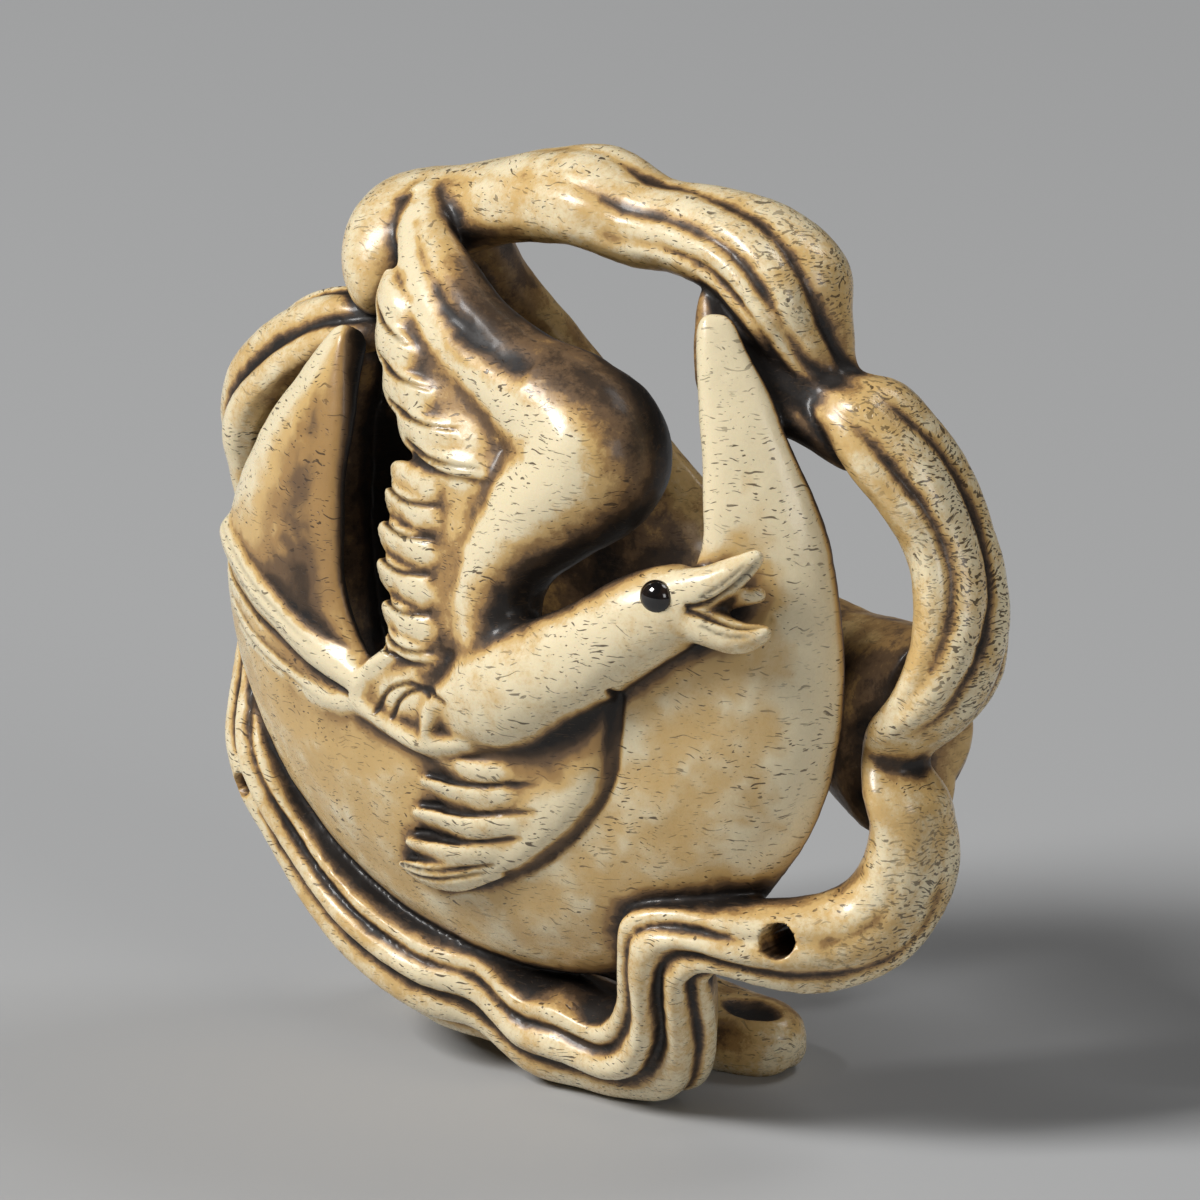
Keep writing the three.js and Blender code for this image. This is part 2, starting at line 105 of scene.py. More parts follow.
class Shell(Surface):
    """The carving's outer ellipsoid, by degrees round the rim and degrees back from the front pole."""

    def at(self, p: np.ndarray, q: np.ndarray) -> tuple[np.ndarray, np.ndarray]:
        """Points and normals at rim angles p and angles from the front q."""
        theta, phi = np.radians(p), np.radians(q)
        ball = np.stack([np.sin(phi) * np.cos(theta), -np.cos(phi), np.sin(phi) * np.sin(theta)], axis=1)
        half = np.array(HALF_SIZE)
        return ball * half + np.array(MIDDLE), unit(ball / half)


@dataclass(frozen=True)
class Dome(Surface):
    """A flattened dome by x and z, facing the front (side -1) or the back (side 1)."""

    centre: tuple[float, float, float]
    half: tuple[float, float, float]
    side: int
    steepest: float = 0.985

    def at(self, p: np.ndarray, q: np.ndarray) -> tuple[np.ndarray, np.ndarray]:
        """Points and normals at places x = p and z = q."""
        across = (p - self.centre[0]) / self.half[0]
        up = (q - self.centre[2]) / self.half[2]
        out = np.sqrt(1 - np.minimum(np.hypot(across, up), self.steepest) ** 2)
        points = np.stack([p, self.centre[1] + self.side * self.half[1] * out, q], axis=1)
        slopes = [across / self.half[0], self.side * out / self.half[1], up / self.half[2]]
        return points, unit(np.stack(slopes, axis=1))


class Underside(Surface):
    """The level that the netsuke stands on, by x and y, facing down."""

    def at(self, p: np.ndarray, q: np.ndarray) -> tuple[np.ndarray, np.ndarray]:
        """Points and normals at places x = p and y = q."""
        return np.stack([p, q, 0 * p], axis=1), np.tile([0.0, 0.0, -1.0], (len(p), 1))


RIM = Shell()
FRONT = Dome(MIDDLE, HALF_SIZE, -1)
REAR = Dome(MIDDLE, HALF_SIZE, 1)
MOON_FACE = Dome((-1.8, -1.5, 24.5), (19.3, 9.5, 19.3), -1)
TABLE_LEVEL = Underside()


def along(stations: np.ndarray, t: np.ndarray) -> np.ndarray:
    """A smooth reading of a table of stations.

    Args:
        stations: One row of numbers for each station.
        t: Places from 0 at the first station to 1 at the last.

    Returns:
        One row of numbers for each place, following Catmull-Rom curves.
    """
    last = len(stations) - 1
    place = np.clip(t, 0, 1) * last
    i = np.minimum(place.astype(int), last - 1)
    f = (place - i)[:, None]
    a, b = stations[np.maximum(i - 1, 0)], stations[i]
    c, d = stations[i + 1], stations[np.minimum(i + 2, last)]
    return b + 0.5 * f * (c - a + f * (2 * a - 5 * b + 4 * c - d + f * (3 * (b - c) + d - a)))


def end_size(t: np.ndarray, start: float, end: float) -> np.ndarray:
    """How much of its full size a section has, where each end is rounded over a share of the length."""

    def rounded(distance: np.ndarray, share: float) -> np.ndarray:
        """Quarter-circle growth from an end."""
        if share <= 0:
            return np.ones_like(distance)
        depth = np.clip(1 - distance / share, 0, 1)
        return np.sqrt(np.maximum(1 - depth**2, 0.0004))

    return np.minimum(rounded(t, start), rounded(1 - t, end))


def spread(t: np.ndarray, start: float, end: float) -> np.ndarray:
    """Places from 0 to 1 crowded towards rounded ends."""
    crowded = t.copy()
    if start > 0:
        near = t < start
        crowded[near] = start * (1 - np.cos(t[near] / start * math.pi / 2))
    if end > 0:
        near = t > 1 - end
        crowded[near] = 1 - end * (1 - np.cos((1 - t[near]) / end * math.pi / 2))
    return crowded


# ---- Lofted forms ----


@dataclass
class Form(ABC):
    """A closed form lofted from sections, which becomes part of the carving's skin.

    Rows is how many sections it has along it and around how many points each has. Ends holds the shares
    of its length over which its two ends are rounded.
    """

    surface: Surface
    stations: list
    zone: Zone
    rows: int = 60
    around: int = 40
    ends: tuple[float, float] = (0.05, 0.05)

    @abstractmethod
    def place(self, t: np.ndarray, turn: np.ndarray) -> tuple[np.ndarray, np.ndarray]:
        """Points of the form, and how far each lies across it.

        Args:
            t: Places along the form, from 0 to 1.
            turn: Places round its section, from 0 to 1.

        Returns:
            The points in millimetres, and a number from 0 to 1 across the form.
        """

    def build(self) -> tuple[bmesh.types.BMesh, np.ndarray, np.ndarray]:
        """The form as a closed mesh, with its points and their places along and across it."""
        bm = bmesh.new()
        bmesh.ops.create_grid(bm, x_segments=self.rows, y_segments=self.around, size=0.5)
        flat = np.array([vert.co[:2] for vert in bm.verts]) + 0.5
        t = spread(flat[:, 0], *self.ends)
        points, across = self.place(t, flat[:, 1])
        seam = [vert for vert, place in zip(bm.verts, flat[:, 1]) if place < 1e-6 or place > 1 - 1e-6]
        for vert, point in zip(bm.verts, points):
            vert.co = point
        bmesh.ops.remove_doubles(bm, verts=seam, dist=1e-5)
        bmesh.ops.holes_fill(bm, edges=[edge for edge in bm.edges if edge.is_boundary], sides=0)
        bmesh.ops.recalc_face_normals(bm, faces=bm.faces)
        return bm, points, np.stack([t, across], axis=1)


@dataclass
class Band(Form):
    """A band of cloud, wing or moon between two edges that lie on a surface.

    Each station holds the two coordinates of one edge, those of the other, the height of the outer face,
    the thickness, and, where the band is furrowed, how far the ridges have drifted, how high they are and
    how much they crowd towards the first edge. Outer share is the share of a section's turn that is spent
    on its outer face.
    """

    ridges: float = 0
    squareness: float = 2.6
    uneven: float = 0
    outer_share: float = 0.68
    ridge_power: float = 0.8
    ridge_level: float = 0.6

    def place(self, t: np.ndarray, turn: np.ndarray) -> tuple[np.ndarray, np.ndarray]:
        """Points on the outer face for the first share of a turn, then on the inner face."""
        outside = turn <= self.outer_share
        u = np.where(outside, turn / self.outer_share, (1 - turn) / (1 - self.outer_share))
        values = along(np.array(self.stations, float), t)
        size = end_size(t, *self.ends)
        first, second = values[:, 0:2], values[:, 2:4]
        half = values[:, 5] / 2
        across = 0.5 + (u - 0.5) * size
        swell = np.sqrt(np.maximum(1 - np.abs(2 * u - 1) ** self.squareness, 0))
        height = values[:, 4] - half + np.where(outside, 1.0, -1.0) * half * swell * size
        if self.ridges:
            edges = [self.surface.at(edge[:, 0], edge[:, 1])[0] for edge in (first, second)]
            width = np.linalg.norm(edges[0] - edges[1], axis=1)
            way = (half * np.where(u < 0.5, swell, 2 - swell) + width * u) / (2 * half + width)
            crown = np.where(outside, self.crown(t, u, way, values), 0.0) * size
            across = across + np.sign(u - 0.5) * crown * (1 - swell) / width
            height = height + crown * swell
        middle = first + (second - first) * across[:, None]
        points, normals = self.surface.at(middle[:, 0], middle[:, 1])
        return points + normals * height[:, None], u

    def crown(self, t: np.ndarray, u: np.ndarray, way: np.ndarray, values: np.ndarray) -> np.ndarray:
        """How far the ridges stand out.

        Args:
            t: Places along the band.
            u: Places across it.
            way: The share of the outer face's girth passed at each place.
            values: The stations' numbers at t.

        Returns:
            The ridges' height in millimetres, below zero in the furrows.
        """
        crowd = values[:, 8] if values.shape[1] > 8 else 1.0
        wander = self.uneven * (np.sin(t * 61 + 3 * u) * 0.06 + np.sin(t * 137 + 1.3) * 0.02)
        phase = self.ridges * (1 - (1 - way) ** crowd) + values[:, 6] + wander * u * (1 - u) * 4
        worn = 1 + self.uneven * 0.3 * np.sin(t * 43 + 5 * u)
        fade = np.clip(u * (1 - u) * 40, 0, 1)
        ridge = np.abs(np.sin(math.pi * phase)) ** self.ridge_power - self.ridge_level
        return values[:, 7] * worn * fade * ridge


@dataclass
class Limb(Form):
    """A rounded limb whose middle lies on or under a surface.

    Each station holds the two coordinates of its middle, its height, half width and half thickness. Roll
    turns its sections about the middle line, in degrees, and dish hollows its outer side, in millimetres.
    """

    roll: float = 0
    dish: float = 0

    def middle(self, t: np.ndarray) -> tuple[np.ndarray, np.ndarray]:
        """The middle line and the surface's normals along it."""
        values = along(np.array(self.stations, float), t)
        points, normals = self.surface.at(values[:, 0], values[:, 1])
        return points + normals * values[:, 2:3], normals

    def place(self, t: np.ndarray, turn: np.ndarray) -> tuple[np.ndarray, np.ndarray]:
        """Points round an ellipse that stands square to the middle line."""
        values = along(np.array(self.stations, float), t)
        size = end_size(t, *self.ends)
        points, normals = self.middle(t)
        ahead = unit(self.middle(np.minimum(t + 0.01, 1))[0] - self.middle(np.maximum(t - 0.01, 0))[0])
        side = unit(np.cross(ahead, normals))
        out = unit(np.cross(side, ahead))
        tilt = math.radians(self.roll)
        cosine, sine = math.cos(tilt), math.sin(tilt)
        side, out = side * cosine + out * sine, out * cosine - side * sine
        angle = 2 * math.pi * turn
        wide = (values[:, 3] * size * np.cos(angle))[:, None]
        thick = values[:, 4] * size * np.sin(angle)
        hollow = self.dish * np.clip(np.sin(angle), 0, 1) ** 2 * np.clip(t * 2 - 0.9, 0, 1) * size
        return points + side * wide + out * (thick - hollow)[:, None], (np.cos(angle) + 1) / 2


@dataclass
class Scoop:
    """A hollow cut into the skin by an ellipsoid, or a straight hole by a long cylinder."""

    centre: Vector
    half: tuple[float, float, float]
    axis: Vector
    straight: bool = False

    def build(self) -> bpy.types.Object:
        """The cutter as an object."""
        bm = bmesh.new()
        if self.straight:
            size = {"radius1": self.half[0], "radius2": self.half[0], "depth": 2 * self.half[2]}
            bmesh.ops.create_cone(bm, cap_ends=True, segments=40, **size)
        else:
            bmesh.ops.create_uvsphere(bm, u_segments=64, v_segments=48, radius=1)
            bmesh.ops.scale(bm, vec=self.half, verts=bm.verts)
        turn = Vector((0, 0, 1)).rotation_difference(self.axis.normalized()).to_matrix()
        bmesh.ops.rotate(bm, cent=(0, 0, 0), matrix=turn, verts=bm.verts)
        bmesh.ops.translate(bm, vec=self.centre, verts=bm.verts)
        return object_of(bm, "cutter")


@dataclass
class Groove:
    """A stroke of the knife along a path over a surface, in millimetres, with stain left in it."""

    surface: Surface
    path: list
    width: float = 0.12
    depth: float = 0.16
    ink: float = 0.9
    fade: tuple[float, float] = (0.12, 0.45)
    search: float = 4.0
    step: float = 0.07

    def marks(self, tree: BVHTree) -> list[tuple[Vector, float]]:
        """Points of the stroke on the skin, and how strong it is at each.

        Args:
            tree: The skin to lay the stroke on.

        Returns:
            Pairs of a point and a strength from 0 to 1.
        """
        rough = np.array(self.path, float)
        corners = self.surface.at(rough[:, 0], rough[:, 1])[0]
        length = np.sum(np.linalg.norm(np.diff(corners, axis=0), axis=1))
        t = np.linspace(0, 1, max(8, int(length / self.step)))
        values = along(rough, t)
        points, normals = self.surface.at(values[:, 0], values[:, 1])
        strength = np.clip(t / self.fade[0], 0, 1) * np.clip((1 - t) / self.fade[1], 0, 1)
        made = []
        for point, normal, strong in zip(points, normals, strength):
            inward = Vector(-normal)
            hit = tree.ray_cast(Vector(point) - inward * self.search, inward, 2 * self.search)[0]
            if hit is not None:
                made.append((hit, float(strong) ** 0.5))
        return made


def object_of(bm: bmesh.types.BMesh, name: str) -> bpy.types.Object:
    """A new object in the scene from a bmesh, which is freed."""
    mesh = bpy.data.meshes.new(name)
    bm.to_mesh(mesh)
    bm.free()
    made = bpy.data.objects.new(name, mesh)
    bpy.context.scene.collection.objects.link(made)
    return made


def settle(made: bpy.types.Object) -> None:
    """Applies an object's modifiers to its mesh."""
    depsgraph = bpy.context.evaluated_depsgraph_get()
    applied = bpy.data.meshes.new_from_object(made.evaluated_get(depsgraph))
    old = made.data
    made.modifiers.clear()
    made.data = applied
    bpy.data.meshes.remove(old)


@dataclass
class Skin:
    """A mesh's points and neighbours as arrays, for passes that read or move every point."""

    mesh: bpy.types.Mesh
    points: np.ndarray = field(init=False)
    normals: np.ndarray = field(init=False)
    neighbours: np.ndarray = field(init=False)
    starts: np.ndarray = field(init=False)
    degree: np.ndarray = field(init=False)

    def __post_init__(self) -> None:
        """Reads the mesh."""
        count = len(self.mesh.vertices)
        self.points = np.empty(count * 3)
        self.mesh.vertices.foreach_get("co", self.points)
        self.points = self.points.reshape(-1, 3)
        self.normals = np.empty(count * 3)
        self.mesh.vertex_normals.foreach_get("vector", self.normals)
        self.normals = self.normals.reshape(-1, 3)
        edges = np.empty(len(self.mesh.edges) * 2, dtype=np.int64)
        self.mesh.edges.foreach_get("vertices", edges)
        edges = edges.reshape(-1, 2)
        ends = np.concatenate([edges, edges[:, ::-1]])
        ends = ends[np.argsort(ends[:, 0], kind="stable")]
        self.neighbours = ends[:, 1]
        self.degree = np.bincount(ends[:, 0], minlength=count)
        self.starts = np.concatenate([[0], np.cumsum(self.degree)[:-1]])

    def relaxed(self, values: np.ndarray, rounds: int, share: float = 0.6) -> np.ndarray:
        """Values drawn towards their neighbours' mean.

        Args:
            values: One row or number for each point.
            rounds: How many times to draw them.
            share: How far they move each time.

        Returns:
            The smoothed values.
        """
        degree = self.degree if values.ndim == 1 else self.degree[:, None]
        for _ in range(rounds):
            mean = np.add.reduceat(values[self.neighbours], self.starts) / degree
            values = values + share * (mean - values)
        return values

    def hollowness(self, rounds: int) -> np.ndarray:
        """How far each point lies below its smoothed surroundings, in millimetres."""
        return np.sum((self.relaxed(self.points, rounds) - self.points) * self.normals, axis=1)

    def move(self, points: np.ndarray) -> None:
        """Puts the mesh's points at new places."""
        self.mesh.vertices.foreach_set("co", points.ravel())
        self.mesh.update()
        self.points = points

    def write(self, name: str, values: np.ndarray) -> None:
        """Stores a number for each point under a name that a finish can read."""
        layer = self.mesh.attributes.new(name, "FLOAT", "POINT")
        layer.data.foreach_set("value", values.astype(np.float32))


# ---- The carving's forms ----


def right_of(path: tuple, x: np.ndarray, z: np.ndarray) -> np.ndarray:
    """How far points lie to the right of a path seen from the front, below zero on its left.

    Args:
        path: The path's points, x and z, from its top end.
        x: Where the points lie across.
        z: Where they lie up.

    Returns:
        The distances in millimetres.
    """
    nearest = np.full(len(x), np.inf)
    signed = np.zeros(len(x))
    for (x0, z0), (x1, z1) in zip(path, path[1:]):
        run, drop = x1 - x0, z1 - z0
        share = np.clip(((x - x0) * run + (z - z0) * drop) / (run * run + drop * drop), 0, 1)
        off_x, off_z = x - x0 - share * run, z - z0 - share * drop
        distance = np.hypot(off_x, off_z)
        closer = distance < nearest
        signed = np.where(closer, distance * np.sign(run * off_z - drop * off_x), signed)
        nearest = np.minimum(nearest, distance)
    return signed


@dataclass(frozen=True)
class FeatherRow:
    """A row of feathers, with the places, x and z, that their tips and their roots follow."""

    tips: tuple[tuple[float, float], ...]
    roots: tuple[tuple[float, float], ...]
    count: int

    def ends(self, places: np.ndarray) -> zip:
        """Pairs of a tip and a root at places from 0 to 1 along the row."""
        return zip(along(np.array(self.tips), places), along(np.array(self.roots), places))


SECONDARIES = FeatherRow(
    tips=((-5.8, 31.2), (-6.2, 27.4), (-5.4, 23.1)),
    roots=((1.3, 30.8), (0.8, 27.0), (1.0, 22.8)),
    count=6,
)
PRIMARIES = FeatherRow(
    tips=((-8.9, 39.6), (-8.0, 36.8), (-6.0, 34.2), (-4.2, 32.4)),
    roots=((-4.6, 37.2), (-2.0, 35.4), (0.6, 33.6), (2.6, 31.8)),
    count=5,
)
FAR_FEATHERS = FeatherRow(
    tips=((-2.8, 17.6), (-4.2, 14.4), (-5.8, 11.3)),
    roots=((4.4, 18.4), (4.0, 15.8), (0.6, 12.6)),
    count=5,
)


@dataclass
class Clouds:
    """The ring of banked cloud, its lobes, and the bands that cross the back."""

    ring_ridges: int = 4
    lobe_ridges: int = 3
    back_ridges: int = 2

    def ring(self) -> Form:
        """The ring, from the knob at the top left, clockwise, down the step and underneath."""
        rim = [
            [134, 62, 134, 82, -1.5, 3.0, 0, 0.0, 1.3],
            [125, 54, 125, 100, 0.8, 4.2, 0, 0.0, 1.4],
            [112, 64, 112, 106, -0.4, 4.0, 0, 0.06, 1.6],
            [100, 64, 100, 106, -0.4, 4.2, 0, 0.12, 1.7],
            [90, 63, 90, 106, -0.2, 4.3, 0, 0.18, 1.8],
            [81, 64, 81, 106, -0.9, 4.3, 0, 0.22, 2.0],
            [73, 66, 73, 107, -0.3, 4.3, 0, 0.28, 2.2],
            [64, 67, 64, 108, 0.6, 4.6, 0, 0.5, 2.4],
            [55, 66, 55, 110, 0.6, 4.8, 0.1, 0.75, 2.5],
            [49, 66, 48, 104, -1.0, 3.8, 0.2, 0.5, 2.2],
            [44, 66, 43, 100, -1.9, 3.4, 0.1, 0.15, 1.5],
            [38, 67, 38, 106, -0.5, 3.6, 0, 0.2, 1.2],
            [29, 69, 29, 112, 0.0, 3.4, 0, 0.5, 1],
            [18, 76, 18, 114, 0.2, 3.3, 0, 0.55, 1],
            [8, 73, 8, 113, 0.4, 3.4, 0.2, 0.5, 1],
            [0, 67, 0, 108, 0.0, 3.8, 0.5, 0.35, 1],
            [-5, 63, -5, 100, -1.1, 3.6, 0.8, 0.15, 1],
            [-10, 63, -10, 95, -2.4, 3.0, 1, 0.05, 1],
            [-15, 64, -15, 99, -0.9, 3.8, 1, 0.1, 1],
            [-22, 69, -24, 104, 0.0, 4.2, 1, 0.14, 1],
            [-30, 67, -34, 100, 0.3, 4.3, 1, 0.18, 1],
            [-38, 52, -43, 79, 0.4, 4.2, 1, 0.35, 1],
            [-47, 42, -49, 57, 0.1, 3.8, 1, 0.85, 1],
            [-57, 38, -52.5, 54, 0.2, 3.6, 1, 0.9, 1],
            [-65, 43, -55, 57, 0.2, 3.6, 1, 0.9, 1],
            [-73, 53, -63, 70, 0.2, 3.8, 1, 0.9, 1],
            [-79, 57, -73, 88, 0.7, 4.6, 1, 0.8, 1.2],
            [-87, 55, -85, 93, 0.5, 5.2, 1, 0.8, 1.5],
            [-95, 55, -94, 93, 0.5, 5.2, 1, 0.8, 1.7],
            [-103, 52, -103, 87, -0.1, 4.8, 1, 0.8, 1.8],
            [-112, 52, -112, 86, 0.7, 4.8, 1, 0.8, 1.9],
            [-125, 54, -125, 87, 1.1, 4.5, 1, 0.8, 2.0],
            [-140, 58, -140, 88, 1.2, 4.3, 1, 0.75, 2.0],
            [-155, 61, -155, 90, 1.5, 4.5, 1, 0.65, 2.0],
            [-167, 65, -167, 92, 0.0, 4.2, 1, 0.6, 2.0],
            [-180, 72, -180, 92, -1.4, 3.6, 1, 0.4, 1.8],
        ]
        fineness = {"rows": 760, "around": 120, "ends": (0.02, 0.02)}
        return Band(RIM, rim, Zone.CLOUD, ridges=self.ring_ridges, uneven=1, **fineness)

    def notch_ledge(self) -> Form:
        """The ledge inside the ring's notch, which runs behind the tip of the moon's right horn."""
        ledge = [
            [66, 65, 66, 78, -1.8, 2.6, 0, 0.3],
            [60, 54, 60, 78, -1.9, 2.8, 0, 0.3],
            [54, 49, 54, 77, -2.2, 2.8, 0, 0.3],
            [47, 52, 47, 77, -2.4, 2.8, 0, 0.3],
            [39, 61, 39, 79, -2.3, 2.6, 0, 0.3],
            [31, 70, 31, 84, -2.4, 2.2, 0, 0.3],
        ]
        fineness = {"rows": 150, "around": 70, "ends": (0.1, 0.1)}
        return Band(RIM, ledge, Zone.BACK, ridges=self.back_ridges, **fineness)

    def rear_rim(self) -> Form:
        """A plainer band behind the ring, round the left and the underside."""
        rim = [
            [146, 86, 146, 113, -0.8, 3.4, 0, 0.6],
            [165, 88, 165, 118, -0.8, 3.2, 0, 0.6],
            [185, 86, 185, 120, -1.2, 3.4, 0, 0.6],
            [205, 84, 205, 120, 0.0, 3.6, 0, 0.6],
            [230, 84, 230, 120, 0.3, 4.2, 0, 0.6],
            [255, 84, 255, 120, -0.4, 4.4, 0, 0.6],
            [280, 84, 280, 112, -0.2, 4.4, 0, 0.6],
        ]
        return Band(RIM, rim, Zone.BACK, rows=240, around=70, ridges=self.back_ridges)

    def left_lobe(self) -> Form:
        """The lobe at the left that climbs behind the moon's horn and tucks in under the knob."""
        lobe = [
            [186, 66, 186, 92, -1.6, 3.4, 0, 0.5],
            [171, 64, 172, 100, -0.1, 3.2, 0, 0.7],
            [160, 62, 160, 94, 1.2, 3.4, 0, 0.8],
            [149, 58, 149, 86, 0.6, 3.2, 0, 0.8],
            [138, 54, 140, 80, -0.6, 3.0, 0, 0.7],
            [128, 50, 132, 70, -2.0, 3.0, 0, 0.6],
        ]
        fineness = {"rows": 150, "around": 90, "ends": (0.1, 0.12)}
        return Band(RIM, lobe, Zone.CLOUD, ridges=self.lobe_ridges, **fineness)

    def diagonal(self) -> Form:
        """The cloud that crosses the back from the knob down to the right side of the ring."""
        cloud = [
            [-9.4, 43.2, -17.0, 38.2, 0.2, 3.8, 0, 0.6],
            [-9.6, 38.0, -18.6, 33.0, 0.2, 3.8, 0, 0.6],
            [-6.0, 32.0, -15.2, 23.4, 0.6, 4.0, 0, 0.6],
            [-1.2, 26.8, -9.0, 17.4, 0.8, 4.2, 0, 0.6],
            [3.5, 23.8, 2.0, 15.2, 0.8, 5.4, 0, 0.6],
            [8.6, 23.0, 9.4, 13.8, 0.6, 6.0, 0, 0.6],
            [14.2, 23.6, 15.2, 12.6, 0.2, 6.2, 0, 0.6],
            [18.2, 23.8, 17.8, 14.4, -1.0, 4.2, 0, 0.5],
        ]
        fineness = {"rows": 260, "around": 90, "ends": (0.03, 0.03)}
        return Band(REAR, cloud, Zone.BACK, ridges=self.lobe_ridges, **fineness)

    def curl(self) -> Form:
        """The curl that rises from the foot up the left of the back."""
        curl = [
            [-13.0, 34.0, -20.0, 30.5, 0.0, 3.4, 0, 0.6],
            [-14.0, 25.0, -21.4, 24.0, 0.3, 3.0, 0, 0.6],
            [-12.2, 16.4, -20.4, 14.0, 0.3, 3.2, 0, 0.6],
            [-7.0, 11.4, -15.0, 5.8, 0.3, 3.8, 0, 0.6],
            [1.0, 10.4, -4.5, 2.8, 0.1, 4.2, 0, 0.6],
        ]
        fineness = {"rows": 170, "around": 70, "ends": (0.06, 0.1)}
        return Band(REAR, curl, Zone.BACK, ridges=self.back_ridges, **fineness)

    def foot(self) -> Form:
        """The tongue of cloud under the back, which makes the rear foot."""
        tongue = [
            [-16.5, 2.6, -15.5, 7.4, -3.0, 3.8, 0, 0.4],
            [-12.6, 1.0, -12.0, 7.8, 0.1, 4.2, 0, 0.4],
            [-6.0, 0.7, -5.6, 8.2, 0.3, 4.4, 0, 0.4],
            [-1.4, 1.2, -1.2, 8.4, 0.3, 4.2, 0, 0.4],
            [3.4, 2.5, 3.5, 8.0, 0.3, 3.6, 0, 0.4],
            [8.0, 3.1, 7.6, 7.0, 0.2, 3.6, 0, 0.4],
        ]
        fineness = {"rows": 110, "around": 60, "ends": (0.06, 0.14)}
        return Band(TABLE_LEVEL, tongue, Zone.CLOUD, ridges=self.back_ridges, **fineness)

    def forms(self) -> list[Form]:
        """Every form of cloud."""
        return [
            self.ring(),
            self.notch_ledge(),
            self.rear_rim(),
            self.left_lobe(),
            self.diagonal(),
            self.curl(),
            self.foot(),
        ]


@dataclass
class Moon:
    """The crescent moon."""

    wall: float = 1.7

    def forms(self) -> list[Form]:
        """The crescent, from the tip of the left horn round to the tip of the right one."""
        edges = [
            [-9.9, 37.0, -10.6, 37.4, 0],
            [-9.2, 33.4, -13.9, 33.8, 0],
            [-9.0, 29.4, -17.4, 29.4, 0],
            [-8.4, 24.8, -20.4, 23.4, 0],
            [-6.4, 21.6, -19.4, 15.4, 0],
            [-2.6, 20.6, -13.6, 8.2, 0],
            [1.8, 21.0, -3.6, 4.9, 0],
            [6.2, 22.8, 7.0, 7.2, 0],
            [9.8, 25.8, 14.0, 13.8, 0],
            [11.3, 29.6, 16.9, 21.4, 0],
            [10.9, 33.4, 16.4, 29.4, 0],
            [9.8, 37.0, 13.2, 35.6, 0.5],
            [8.7, 39.6, 9.7, 39.5, 1.3],
        ]
        crescent = [edge + [self.wall] for edge in edges]
        fineness = {"rows": 420, "around": 150, "ends": (0.02, 0.02)}
        return [Band(MOON_FACE, crescent, Zone.MOON, squareness=5, **fineness)]


